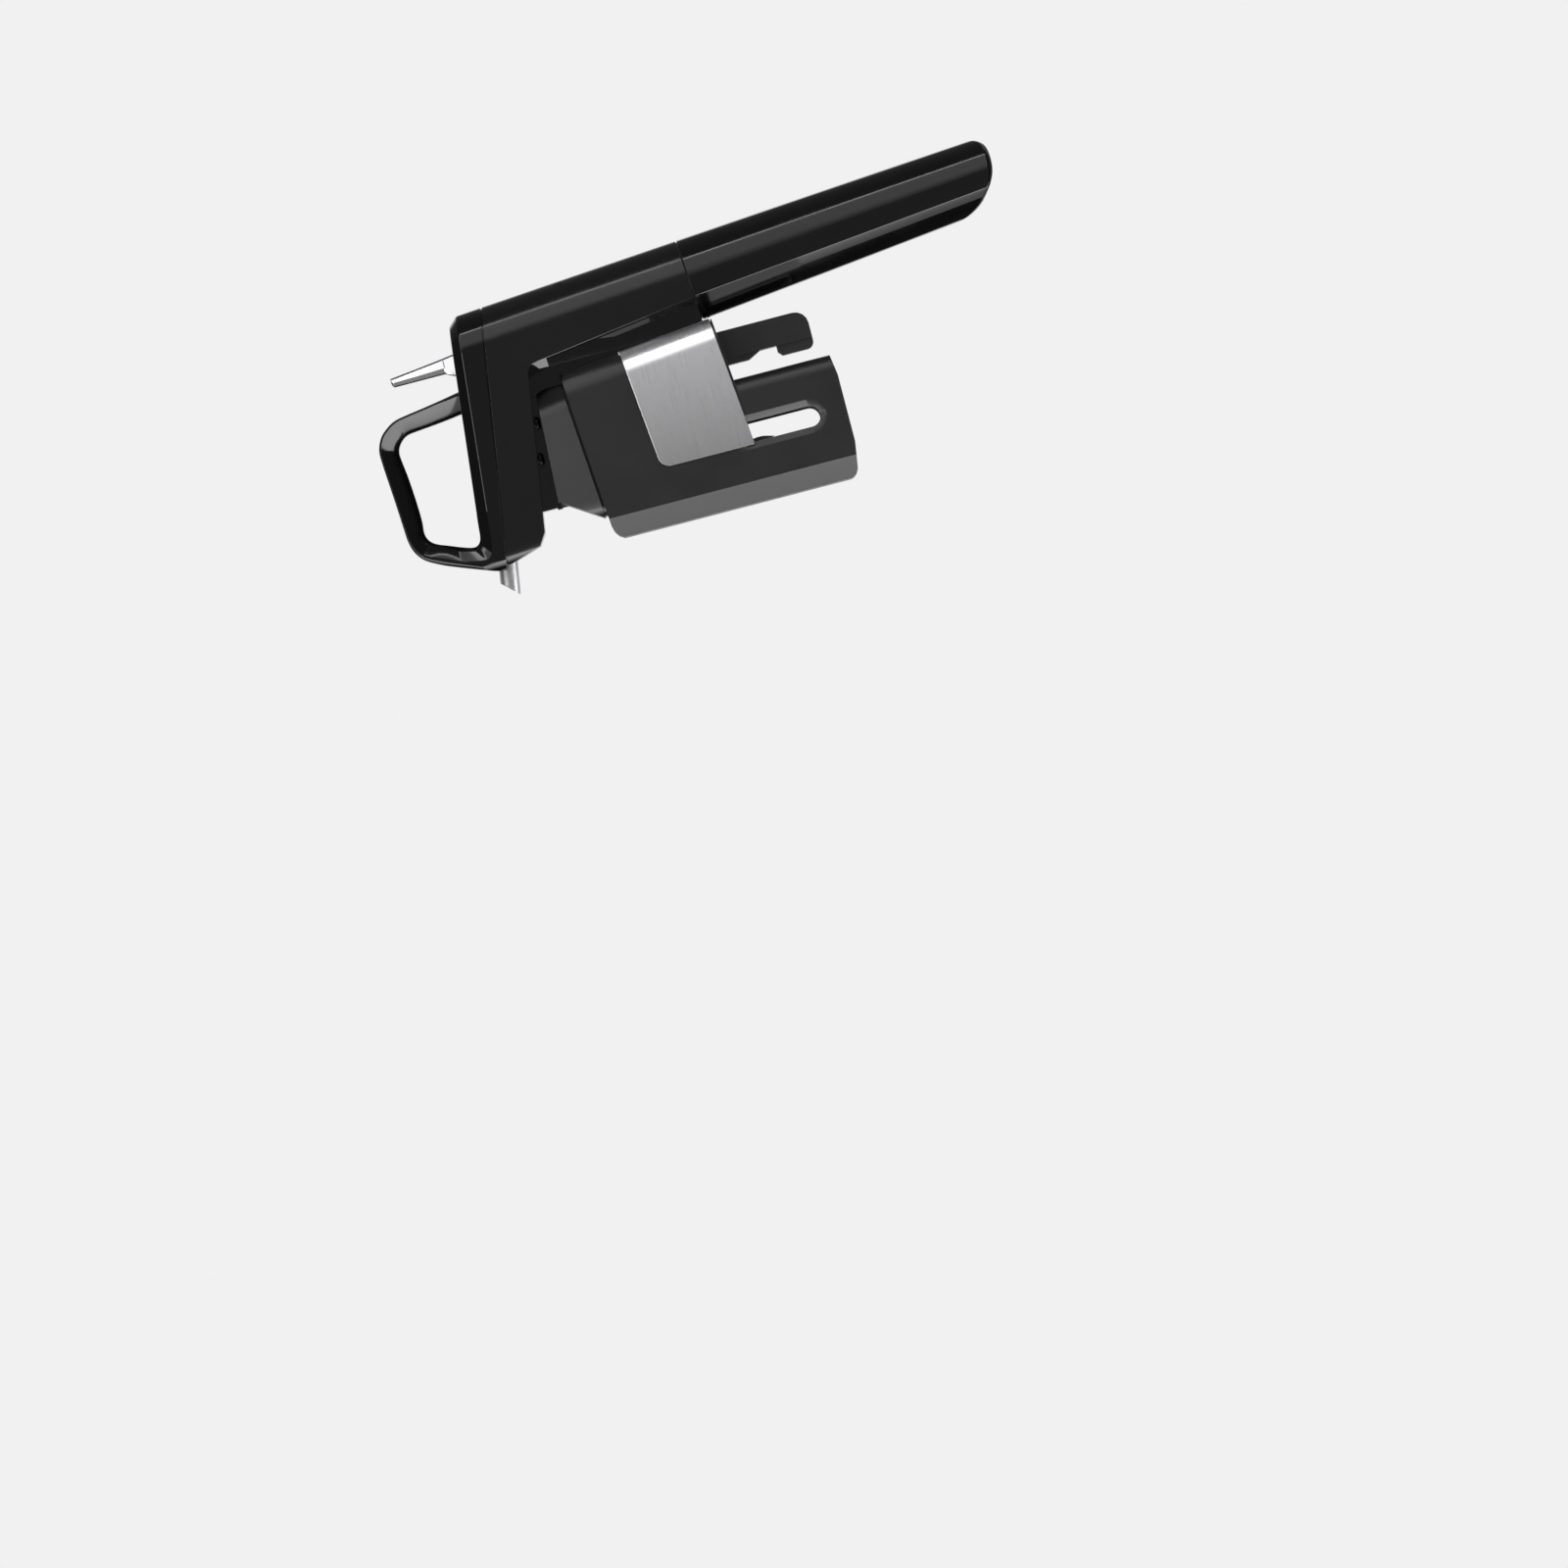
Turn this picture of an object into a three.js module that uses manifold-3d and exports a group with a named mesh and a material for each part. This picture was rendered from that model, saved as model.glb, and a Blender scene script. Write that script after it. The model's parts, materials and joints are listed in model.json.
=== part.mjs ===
// A hand-held dispenser: a head with spout, needle, finger loop, trigger and gas handle,
// which slides up and down on a sleeve that grips the neck it is set on.
//
// Millimetres. +Z runs up the needle and +X points to the handle. The origin is the centre
// of the rubber seat's lower face, which rests on the neck's lip. The left side is -Y.
import * as THREE from 'three';
import { mergeVertices } from 'three/addons/utils/BufferGeometryUtils.js';
import Module from 'manifold-3d';

const wasm = await Module();
wasm.setup();

// Clearances
const gap = 0.3; // between parts that rest on each other
const runGap = 0.4; // between parts that slide or turn
const overrun = 8; // how far a cutting shape passes the face it opens
const weld = 0.0001; // points closer than this are one point

const rad = THREE.MathUtils.degToRad;
const slope = (degrees) => Math.tan(rad(degrees));

// Sleeve that goes over the neck, and its top face
const boreRadius = 15.7;
const sleeveFrontWall = 4.8;
const sleeveBackWall = 5.5;
const sleeveSideWall = 5.1;
const sleeveFront = boreRadius + sleeveFrontWall;
const sleeveBack = boreRadius + sleeveBackWall;
const sleeveHalfWidth = boreRadius + sleeveSideWall;
const sleeveDepth = 71.5;
const sleeveChamfer = 7;
const sleeveBackRound = 5;
const seatThickness = 3.7;
const seatHole = 4.2;
const ceilingThickness = 4;
const topWellDepth = 8.3;
const topWellRadius = 11;
const sleeveTop = seatThickness + ceilingThickness + topWellDepth; // over the axis
const sleeveTopTilt = 4.35; // degrees, rising to the handle
const sleeveTopRound = 5;

// Collar on top of the sleeve, and the bush that guides the needle
const collarHeight = 13.9;
const collarTop = sleeveTop + collarHeight; // its top face over the axis
const collarFront = 12.4;
const collarTopFront = 3.5;
const collarTopTilt = 2.7; // degrees it falls to the handle
const collarHalfWidth = 17.6;
const collarTopHalfWidth = 13.8;
const collarFrontRound = 7;
const collarBackBevel = 7.6;
const collarWall = 2.2;
const guideRadius = 5.6;
const guideFlange = 8.4;
const guideFlangeThickness = 2.4;
const needleRadius = 1;
const needleBore = 0.55;
const needleReach = 46; // tip below the lip
const needleTipLength = 5;

// Rail, its hook, and the liner it runs in
const railStandoff = 5.6; // from the sleeve's back to the rail
const railDepth = 11.6;
const railFront = sleeveBack + railStandoff;
const railBack = railFront + railDepth;
const railHalfWidth = 6.2;
const railLift = 5; // how far the rail ends above the sleeve's lower end
const railEnd = sleeveDepth - railLift;
const railEndRound = 4.6;
const hookDepth = 1.4; // how far the hook stands out towards the sleeve
const hookNotch = 2.2; // how deep the notch behind the hook is
const hookLength = 12.5;
const notchLength = 5.6;
const lipDepth = 2.2; // the rail's narrower front strip
const lipStep = 1.2;
const linerWall = 1.2;
const linerRecess = 2.4; // its upper end under the sleeve's top
const linerTop = sleeveTop - linerRecess;
const linerBottom = 3.9; // below the lip: with the hook, sets the head's full rise
const channelOpening = 10; // below the lip: the rail's channel is open at the back above it
const collarBackStep = 4.3; // from the rail's back to the collar's
const collarBack = railBack - collarBackStep;

// Shoulder on the handle side, which carries the rail, and the metal band round it
const channelWall = 1.1;
const shoulderReach = railBack + channelWall; // to its back face, level with the lip
const shoulderTilt = 5.82; // degrees its back face leans outwards, going down
const shoulderRound = 8;
const shoulderTopChamfer = 2.2;
const bandThickness = 0.8;
const bandProud = 0.4;
const bandTop = 6.2; // its upper edge below the lip, on the axis line
const bandHeight = 32.35;
const bandFront = 1.5; // its front edge in front of the axis
const bandRound = 4;
const bandTilt = 5.6; // degrees the band's edges and the shoulder's floor rise to the handle
const bandFootRim = 0.75;
const shoulderDrop = bandTop + bandHeight + bandFootRim; // its floor, on the axis line

// Windows in the sleeve's sides
const windowCentre = 2.85;
const windowWidth = 7.1;
const windowEndWall = 9.1;
const windowEnd = sleeveDepth - windowEndWall;
const windowLength = 30;
const windowRim = 2.2; // width of the sunk rim round the window
const windowRimDepth = 1.2;

// Jaws that grip the neck
const jawFrontRoom = 2.7;
const jawFront = boreRadius - jawFrontRoom;
const jawBack = 4;
const jawInset = 0.8; // how far the levers stand inside the bore
const jawInner = boreRadius - jawInset;
const jawThickness = 2.1;
const jawTop = 5.6; // below the lip
const jawEndRoom = 13.5;
const jawBottom = sleeveDepth - jawEndRoom;
const jawPinStep = 3.4;
const jawPinDrop = jawTop + jawPinStep;
const jawPinRadius = 1;
const pinSocket = 0.9; // how far the pin's ends stand in the sleeve
const jawBarrel = 2.05;
const jawPinLine = jawInner + jawBarrel;
const jawTravel = 2.3; // room behind the jaw's free end
const padRise = 2; // from the lever's end to the pad
const padLength = 16;
const padBottom = jawBottom - padRise;
const padTop = padBottom - padLength;
const padThickness = 0.7; // at its thinnest
const padReach = jawInner - padThickness; // radius of the pads' hollow faces
const padInset = 0.6; // pad's edge inside the jaw's edge
const torsionRadius = 1.55; // to the middle of the wire
const torsionWire = 0.3;
const torsionPitch = 0.95;
const torsionTurns = 4;

// Screws
const screwRadius = 1.2;
const screwHead = 2.3;
const screwHeadHeight = 1.6;
const screwLength = 8;
const screwSocket = 1.1;
const screwSocketDepth = 0.8;
const collarScrewReach = 9;
const collarScrewSide = 13.2;
const railScrewDrop = 4.4; // from the rail's upper end
const railScrewSide = 3.4;
const railScrewLength = 9;
const lidScrewFront = 12;
const lidScrewStep = 12; // from the front pair to the back pair
const lidScrewBack = lidScrewFront + lidScrewStep;

// Gas capsule, which lies in the handle and sets its bore; lengths run down the handle
const capsuleRadius = 9.6;
const capsuleLength = 91;
const capsuleNeck = 4.4;
const neckLength = 8;
const capsuleWall = 1.3;
const capsuleShoulder = 12; // length of the rounding between neck and flank
const capsuleShoulderShare = 0.4; // where the shoulder is half as wide again
const capsuleDome = 8;
const capsuleDomeShares = [[1, 0], [0.88, 0.55], [0.5, 0.9]]; // across, along the dome
const pierceRadius = 1.5;
const capsuleRoom = 0.5;

// Handle axis, through the joint between upper handle and cup
const spigotLength = 9;
const spigotWall = 1.1;
const spigotBore = capsuleRadius + capsuleRoom;
const spigotRadius = spigotBore + spigotWall;
const handleBore = spigotRadius + runGap;
const handleWall = 2.45;
const handleRadius = handleBore + handleWall;
const cupRoom = 0.74; // from the band's face to the cup, level with the joint
const jointDrop = 31;
const jointReach = shoulderReach + jointDrop * slope(shoulderTilt) + bandProud + cupRoom
  + handleRadius;
const handleTilt = 4.5; // degrees from the needle's axis

// Outer form of the head, seen from above at the lip's level
const headLean = 4.26; // degrees the head's ends lean, back face outwards going down
const wall = 2.3;
const blockHalfWidth = 4.85; // of the valve block in the arm
const postRadius = screwRadius + gap + wall / 4; // posts that take the lid's screws
const postRoom = 0.4;
const lidScrewSide = blockHalfWidth + postRoom + postRadius;
const headFront = 16.6;
const headBack = jointReach + handleRadius - jointDrop * slope(headLean);
const headFrontHalfWidth = lidScrewSide + postRadius + wall - gap;
const headBackHalfWidth = handleRadius;
const headFrontRound = 7;
const headBackRoundShare = 0.95; // of its half width
const headBackRound = headBackHalfWidth * headBackRoundShare;

// Sloping lines of the head: height over the axis, all falling to the handle
const seamTilt = 8.7;
const bossRoom = 0.62; // from the screws' heads to the collar
const bossHeight = (lidScrewBack + screwHead) * (slope(seamTilt) - slope(collarTopTilt))
  + screwHeadHeight + gap + bossRoom;
const armDepth = 13.7;
const lidSide = 5.25;
const lidBevel = 3.6;
const underside = collarTop + bossHeight;
const seam = underside + armDepth;
const edgeLine = seam + lidSide; // where the lid's side meets its chamfered edge
const lidTop = edgeLine + lidBevel;
const edgeTilt = 5.54;
const lidTilt = 6.14;
const edgeInset = 3; // how far the chamfer draws the lid's top in
const noseHeelStep = 0.4;
const noseTopStep = 3.4;
const noseHeel = headFront - noseHeelStep; // front of the arm at its underside
const noseTop = headFront + noseTopStep; // front of the arm at the seam
const noseCut = 4; // slanted corner under the nose

// Upper handle: its side walls end on a slanting lower edge
const skirtBack = 10.55; // from the edge to the handle's axis, level with the lip
const skirtReach = jointReach - skirtBack;
const skirtTilt = 7.71; // degrees
const cornerRound = 5;
const railTop = underside - skirtReach * slope(seamTilt) - 2 * gap;
const railScrewHeight = railTop - railScrewDrop;

// Spine under the upper handle
const spineSideWall = 1.6; // inside the handle's bore
const spineHalfWidth = handleBore - spineSideWall;
const spineFront = collarBack + runGap;

// Trigger, its pin and its slot
const pivotFront = 7.35; // from the handle's axis to the pin
const pivotDepth = 5.82; // pin below the lid's top
const pivotReach = jointReach - pivotFront;
const pivotHeight = lidTop - pivotReach * slope(lidTilt) - pivotDepth;
const pivotRadius = 1.5;
const triggerRise = 27.5; // pivot to tip
const triggerRoot = 7.6;
const triggerTip = 3.1;
const triggerBladeShares = [[0.42, 0], [0.42, 0.22], [0.066, 1], [-0.34, 0.97], [-0.34, 0.345],
  [-0.59, 0.245], [-0.59, 0]]; // across as shares of the root, up as shares of the rise
const triggerBoss = 4;
const triggerHalfWidth = 5.4;
const triggerFinger = 13.9; // pivot to the end of the finger that presses the valve
const fingerDrop = 2.5; // underside of the finger below the pivot
const fingerThickness = 2.4;
const fingerLap = 2; // how far the finger passes the valve's axis
const slotFront = 7.2;
const slotBack = 4.9;
const earThickness = 2.4;

// Finger loop on the lid
const loopHalfWidth = 9;
const loopSlotWall = 1.2; // from its back foot to the trigger's slot
const loopProud = 1.06; // how far its front foot passes the head's front at the seam
const loopNose = headFront + seam * slope(headLean) + loopProud;
const loopBack = pivotReach - slotFront - loopSlotWall; // foot of the loop's back leg
const loopLength = loopBack + loopNose;
const loopRise = 33; // top of the loop over its foot
const loopFootRise = 2.8;
const loopFoot = seam + loopFootRise;
const loopOuterShares = [[0.014, -0.02], [0.106, 1], [0.803, 0.927], [0.915, 0.524],
  [1, 0.05], [0.983, 0.025]];
const loopHoleShares = [[0.136, 0], [0.172, 0.785], [0.737, 0.742], [0.847, 0.258],
  [0.806, 0.08]];
const loopBackRound = 6.5;
const loopFrontRound = 8;
const loopBow = 40; // radius of the bend in its front leg
const loopHoleRound = 4.5;
const loopFootRound = 1.2;
const loopBand = 4.6; // width of the chamfer round its hole
const loopBandDepth = 3;

// Spout
const spoutRadius = 3.25;
const spoutBore = 2.5;
const spoutReach = loopNose; // where it leaves the nose
const spoutHeight = seam + spoutReach * slope(seamTilt);
const spoutTilt = 9.4; // degrees above -X
const spoutLength = 8.4; // past the nose, to the long side of the slanted tip
const spoutCut = 33; // degrees the tip is cut off square
const spoutInside = 15.7; // from the nose to its inner end
const spoutSealBack = 7.6; // from the nose to its seal
const spoutSealWall = 1.3;

// Needle boss, valve block over it, and the hub that joins them
const bossBack = 25.5;
const bossHalfWidth = 7;
const blockNose = 8; // from the head's front to the block
const blockFront = headFront - blockNose;
const blockBottom = underside + blockFront * slope(seamTilt) + wall + runGap;
const blockDepth = 6.3;
const blockTop = blockBottom + blockDepth;
const blockRiserBack = 8;
const blockRiserLip = 1.8;
const blockRiserTop = spoutHeight + blockRiserLip;
const hubRadius = 4.6;
const bossFront = hubRadius;
const hubStem = 3.3;
const hubStemLength = 6.7; // inside the block
const hubStemTop = blockBottom + hubStemLength;

// Valve at the back of the block
const valveWall = 5.3; // from its axis to the block's faces
const valveRoom = 4.1; // from the trigger's finger to the block
const shelfDepth = 4.9;
const blockWeb = 3; // fillet between the block and its lower back
const stemReach = pivotReach - triggerFinger + fingerLap;
const blockStep = stemReach - valveWall;
const blockBack = stemReach + valveWall;
const blockShelf = pivotHeight - fingerDrop - valveRoom;
const blockFoot = blockShelf - shelfDepth;
const stemRadius = 2.2;
const stemHead = 3.7;
const stemHeadThickness = 1.1;
const stemDome = 0.5;
const stemFootWall = 1; // its end above the block's foot
const stemBottom = blockFoot + stemFootWall;
const stemWellDepth = 3;
const valveWire = 0.3;
const valveTurns = 3;

// Gas line from the regulator to the valve block
const lineRadius = 1.5;
const lineBore = 0.8;
const linePortDrop = 2.3; // its axis below the block's shelf
const linePortHeight = blockShelf - linePortDrop;
const lineBendShare = 0.7; // how much of its rise each end runs straight on

// Regulator, measured up the handle axis from the joint
const regulatorLift = 0.7; // above the cup's spigot
const capThickness = 5;
const regulatorBottom = spigotLength + regulatorLift;
const regulatorTop = jointDrop + railScrewHeight - screwHead - capThickness - 2 * gap;
const regulatorRadius = handleBore - runGap;
const regulatorWall = 3.2;
const chamberRadius = regulatorRadius - regulatorWall;
const chamberBase = 13.3;
const chamberFloor = regulatorBottom + chamberBase;
const neckRoom = 1.1;
const neckWell = capsuleNeck + neckRoom;
const neckWellDepth = 5.6;
const neckInWell = 2.3;
const neckTop = regulatorBottom + neckInWell;
const capRadius = 9.4;
const portRadius = 3;
const portLength = 3.2;
const pistonRadius = chamberRadius - gap;
const pistonThickness = 5;
const pistonStem = 2;
const pistonLift = 1.6; // free travel over the chamber's floor
const springWire = 0.6;
const springTurns = 5;
const pinShank = 1;
const pinBite = 4.6; // how deep the piercing pin reaches into the capsule's neck
const pinPoint = neckTop - pinBite;
const sealThickness = 2.2;
const sealBore = 1.9;

// Cup: the lower handle, which screws off
const capsuleBottom = capsuleLength - neckTop;
const restThickness = 5;
const restRoom = 2; // from the spacer to where the well narrows
const cupStep = capsuleBottom + restThickness + restRoom;
const cupEndWall = 6.65;
const cupEndBore = handleRadius - cupEndWall;
const cupEndWell = 17;
const cupWell = cupStep + cupEndWell;
const cupWellShare = 0.9415;
const cupLength = cupWell / cupWellShare;
// Ribs along the cup: length share, upper and lower edge as shares of the radius, width share,
// and how far the lower edge stays behind, as a share of the length
const cupRibShares = [
  [0.0027, 1, -1, 1, 0], [0.85, 0.967, -0.775, 0.925, 0], [0.914, 0.963, -0.72, 0.9, 0.006],
  [0.951, 0.95, -0.61, 0.86, 0.01], [0.976, 0.93, -0.4, 0.79, 0.016],
  [0.99, 0.87, -0.24, 0.69, 0.018], [1, 0.7, 0.05, 0.42, 0.01],
];
// Half of the cup's section: depth share from its upper edge, half-width share
const cupSectionShares = [
  [0, 0], [0.02, 0.29], [0.08, 0.54], [0.18, 0.77], [0.31, 0.925], [0.46, 0.995], [0.58, 1],
  [0.66, 0.95], [0.775, 0.725], [0.9, 0.66], [0.965, 0.47], [0.995, 0.24], [1, 0],
];

// Facets
const round = 32; // sides of a full round shape
const hiddenSides = 20; // sides of the round pieces inside
const smallSides = 14; // sides of pins and screws
const cornerSteps = 4; // facets of a quarter turn in an outline
const coilSteps = 8;
const coilSides = 5;
const lineSteps = 10;
const lineSides = 8;

const up = new THREE.Vector3(0, 0, 1);
const backwards = new THREE.Vector3(1, 0, 0);
const acrossY = new THREE.Vector3(0, 1, 0);

// Sloping lines of the side view, as heights over x or reaches over z
const undersideAt = (x) => underside - x * slope(seamTilt);
const seamAt = (x) => seam - x * slope(seamTilt);
const edgeAt = (x) => edgeLine - x * slope(edgeTilt);
const lidAt = (x) => lidTop - x * slope(lidTilt);
const sleeveTopAt = (x) => sleeveTop + x * slope(sleeveTopTilt);
const collarTopAt = (x) => collarTop - x * slope(collarTopTilt);
const shoulderAt = (z) => shoulderReach - z * slope(shoulderTilt);
const shoulderFloorAt = (x) => x * slope(bandTilt) - shoulderDrop;
const bandTopAt = (x) => x * slope(bandTilt) - bandTop;
const skirtAt = (z) => skirtReach - z * slope(skirtTilt);
const jointLineAt = (x) => (x - jointReach) * slope(handleTilt) - jointDrop;

// The handle's own frame: its z axis runs up the handle, its origin is the joint
const handle = new THREE.Group();
handle.position.set(jointReach, 0, -jointDrop);
handle.rotation.y = -rad(handleTilt);
handle.updateMatrixWorld();
const inHandle = (geometry) => geometry.clone().applyMatrix4(handle.matrixWorld);

// Closed solids and what is done with them
function solid(geometry) {
  const bare = geometry.clone();
  bare.deleteAttribute('normal');
  bare.deleteAttribute('uv');
  const merged = mergeVertices(bare, weld);
  const points = merged.attributes.position.array;
  const index = merged.index.array;
  const corner = (i) => new THREE.Vector3().fromArray(points, 3 * i);
  const triangles = [];
  let volume = 0;
  for (let i = 0; i < index.length; i += 3) {
    const [a, b, c] = index.slice(i, i + 3);
    if (a === b || b === c || c === a) continue;
    triangles.push([a, b, c]);
    volume += corner(a).dot(corner(b).cross(corner(c)));
  }
  const facing = volume < 0 ? triangles.map(([a, b, c]) => [a, c, b]) : triangles;
  const triVerts = new Uint32Array(facing.flat());
  return new wasm.Manifold(new wasm.Mesh({ numProp: 3, vertProperties: points, triVerts }));
}

const asSolid = (shape) => (shape.isBufferGeometry ? solid(shape) : shape);
const join = (first, ...others) => others.reduce((a, b) => a.add(asSolid(b)), asSolid(first));
const cut = (first, ...tools) => tools.reduce((a, b) => a.subtract(asSolid(b)), asSolid(first));
const common = (first, ...others) =>
  others.reduce((a, b) => a.intersect(asSolid(b)), asSolid(first));

// Rounds the corners of an outline given as [across, up, radius]
function outline(corners) {
  const points = [];
  corners.forEach(([x, y, radius = 0], i) => {
    const here = new THREE.Vector2(x, y);
    const before = corners.at(i - 1);
    const after = corners[(i + 1) % corners.length];
    const back = new THREE.Vector2(before[0], before[1]).sub(here).normalize();
    const on = new THREE.Vector2(after[0], after[1]).sub(here).normalize();
    const angle = Math.acos(THREE.MathUtils.clamp(back.dot(on), -1, 1));
    if (radius <= 0) {
      points.push(here);
      return;
    }
    const centre = back.clone().add(on).normalize();
    centre.multiplyScalar(radius / Math.sin(angle / 2)).add(here);
    const reach = radius / Math.tan(angle / 2);
    const from = back.multiplyScalar(reach).add(here).sub(centre);
    const sweep = (Math.PI - angle) * Math.sign(from.cross(here.clone().sub(centre)));
    const steps = Math.max(1, Math.round((Math.PI - angle) / (Math.PI / 2) * cornerSteps));
    for (let k = 0; k <= steps; k += 1) {
      const turn = from.clone().rotateAround(new THREE.Vector2(), sweep * k / steps);
      points.push(turn.add(centre));
    }
  });
  return points;
}

// Moves the sides of an anticlockwise outline outwards, with its corners' radii to match
function grow(corners, distance) {
  return corners.map(([x, y, radius], i) => {
    const here = new THREE.Vector2(x, y);
    const before = new THREE.Vector2(...corners.at(i - 1));
    const after = new THREE.Vector2(...corners[(i + 1) % corners.length]);
    const into = here.clone().sub(before).normalize();
    const out = after.sub(here).normalize();
    const aside = new THREE.Vector2(into.y + out.y, -into.x - out.x).normalize();
    const reach = distance / aside.dot(new THREE.Vector2(into.y, -into.x));
    return [...here.addScaledVector(aside, reach).toArray(), radius && radius + distance];
  });
}

function plate(points, depth, holes = []) {
  const shape = new THREE.Shape(points);
  shape.holes = holes.map((hole) => new THREE.Path(hole));
  return new THREE.ExtrudeGeometry(shape, { depth, bevelEnabled: false });
}

// A side view, as [x, z] points, made solid across Y
function sideSolid(points, halfWidth) {
  return plate(points, 2 * halfWidth).rotateX(Math.PI / 2).translate(0, halfWidth, 0);
}

// A plan, as [x, y] points, made solid between two heights
const planSolid = (points, low, high) => plate(points, high - low).translate(0, 0, low);

// An end view, as [y, z] points, made solid along X
function endSolid(points, from, to) {
  const turn = new THREE.Matrix4().makeBasis(
    new THREE.Vector3(0, 1, 0), new THREE.Vector3(0, 0, 1), new THREE.Vector3(1, 0, 0));
  return plate(points, to - from).applyMatrix4(turn).translate(from, 0, 0);
}

const box = ([x0, y0, z0], [x1, y1, z1]) =>
  new THREE.BoxGeometry(x1 - x0, y1 - y0, z1 - z0)
    .translate((x0 + x1) / 2, (y0 + y1) / 2, (z0 + z1) / 2);

// A turned shape from [radius, height] points, about a line from a place
function turned(points, place = [0, 0, 0], direction = up, sides = round) {
  const profile = points.map(([r, h]) => new THREE.Vector2(r, h));
  const quarter = new THREE.Quaternion().setFromUnitVectors(up, direction);
  return new THREE.LatheGeometry(profile, sides)
    .rotateX(Math.PI / 2)
    .applyQuaternion(quarter)
    .translate(...place);
}

function rod(radius, from, to, place, direction, sides) {
  return turned([[0, from], [radius, from], [radius, to], [0, to]], place, direction, sides);
}

function ring(inner, outer, from, to, place, direction, sides) {
  const profile = [[inner, from], [outer, from], [outer, to], [inner, to], [inner, from]];
  return turned(profile, place, direction, sides);
}

// Stacks outlines with the same number of points into one closed solid
function stack(rings) {
  const count = rings[0].length;
  const points = rings.flat();
  const index = [];
  for (let level = 0; level + 1 < rings.length; level += 1) {
    for (let i = 0; i < count; i += 1) {
      const a = level * count + i;
      const b = level * count + (i + 1) % count;
      index.push(a, b, b + count, a, b + count, a + count);
    }
  }
  const flat = rings[0].map((point) => new THREE.Vector2(point.x, point.y));
  for (const [a, b, c] of THREE.ShapeUtils.triangulateShape(flat, [])) {
    const lid = points.length - count;
    index.push(c, b, a, lid + a, lid + b, lid + c);
  }
  const geometry = new THREE.BufferGeometry().setFromPoints(points);
  geometry.setIndex(index);
  return geometry;
}

class Helix extends THREE.Curve {
  constructor(radius, rise, turns) {
    super();
    Object.assign(this, { radius, rise, turns });
  }

  getPoint(t) {
    const angle = 2 * Math.PI * this.turns * t;
    return new THREE.Vector3(
      this.radius * Math.cos(angle), this.radius * Math.sin(angle), this.rise * t);
  }
}

// A tube along a path, with a bore where one is given
function tube(path, radius, steps, sides, bore = 0) {
  const circle = (r) => new THREE.Path().absarc(0, 0, r, 0, 2 * Math.PI).getSpacedPoints(sides);
  const shape = new THREE.Shape(circle(radius).slice(0, -1));
  if (bore > 0) shape.holes = [new THREE.Path(circle(bore).slice(0, -1).reverse())];
  return new THREE.ExtrudeGeometry(shape, { steps, extrudePath: path, bevelEnabled: false });
}

const coil = (radius, wire, rise, turns) =>
  tube(new Helix(radius, rise, turns), wire, turns * coilSteps, coilSides);

// Finishes
const finish = (color, roughness, metalness = 0) =>
  new THREE.MeshStandardMaterial({ color, roughness, metalness });
const satinBlack = () => finish(0x242425, 0.42);
const glossBlack = () => finish(0x161617, 0.16);
const matteBlack = () => finish(0x2c2c2d, 0.62);
const brushedSteel = () => finish(0xa9a9ab, 0.34, 1);
const polishedSteel = () => finish(0xd2d2d4, 0.12, 1);
const springSteel = () => finish(0x8a8a8c, 0.35, 1);
const brass = () => finish(0xb39a5e, 0.35, 1);
const rubber = () => finish(0x1b1b1c, 0.85);
const nylon = () => finish(0xcfccc4, 0.5);

const device = new THREE.Group();
function add(name, shape, material, place = device) {
  const made = asSolid(shape).getMesh();
  const geometry = new THREE.BufferGeometry();
  geometry.setAttribute('position', new THREE.BufferAttribute(made.vertProperties, made.numProp));
  geometry.setIndex(new THREE.BufferAttribute(made.triVerts, 1));
  geometry.computeVertexNormals();
  const mesh = new THREE.Mesh(geometry, material);
  mesh.name = name;
  place.add(mesh);
}
device.add(handle);

// A button-headed screw with a round socket; its head stands on the given place
function screw(place, direction, length = screwLength) {
  return turned([
    [0, -length], [screwRadius, -length], [screwRadius, 0], [screwHead, 0],
    [screwHead, screwHeadHeight], [screwSocket, screwHeadHeight],
    [screwSocket, screwHeadHeight - screwSocketDepth], [0, screwHeadHeight - screwSocketDepth],
  ], place, direction, smallSides);
}

const screwHole = (place, direction, length = screwLength) =>
  rod(screwRadius + gap, -length - gap, overrun, place, direction, smallSides);

// Outer form of the sleeve: a long tube with chamfered front corners, and the shoulder
const sleevePlan = outline([
  [-sleeveFront, -sleeveHalfWidth + sleeveChamfer, gap],
  [-sleeveFront + sleeveChamfer, -sleeveHalfWidth, gap],
  [sleeveBack, -sleeveHalfWidth, sleeveBackRound],
  [sleeveBack, sleeveHalfWidth, sleeveBackRound],
  [-sleeveFront + sleeveChamfer, sleeveHalfWidth, gap],
  [-sleeveFront, sleeveHalfWidth - sleeveChamfer, gap],
]);

// The shoulder grown by some amount, so that the band can follow its surface
function shoulder(grown) {
  const low = -shoulderDrop - overrun;
  const high = linerTop + overrun;
  const ringAt = (z) => {
    const back = shoulderAt(z) + grown;
    const side = sleeveHalfWidth + grown;
    const rounded = shoulderRound + grown;
    const plan = outline([[-jawBack, -side], [back, -side, rounded], [back, side, rounded],
      [-jawBack, side]]);
    return plan.map((point) => new THREE.Vector3(point.x, point.y, z));
  };
  return stack([ringAt(low), ringAt(high)]);
}

// Everything between the shoulder's lower face and far above
function aboveShoulderFloor(lift) {
  const far = shoulderReach + overrun;
  return sideSolid(outline([
    [-far, shoulderFloorAt(-far) + lift], [far, shoulderFloorAt(far) + lift],
    [far, far], [-far, far],
  ]), far);
}

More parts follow.
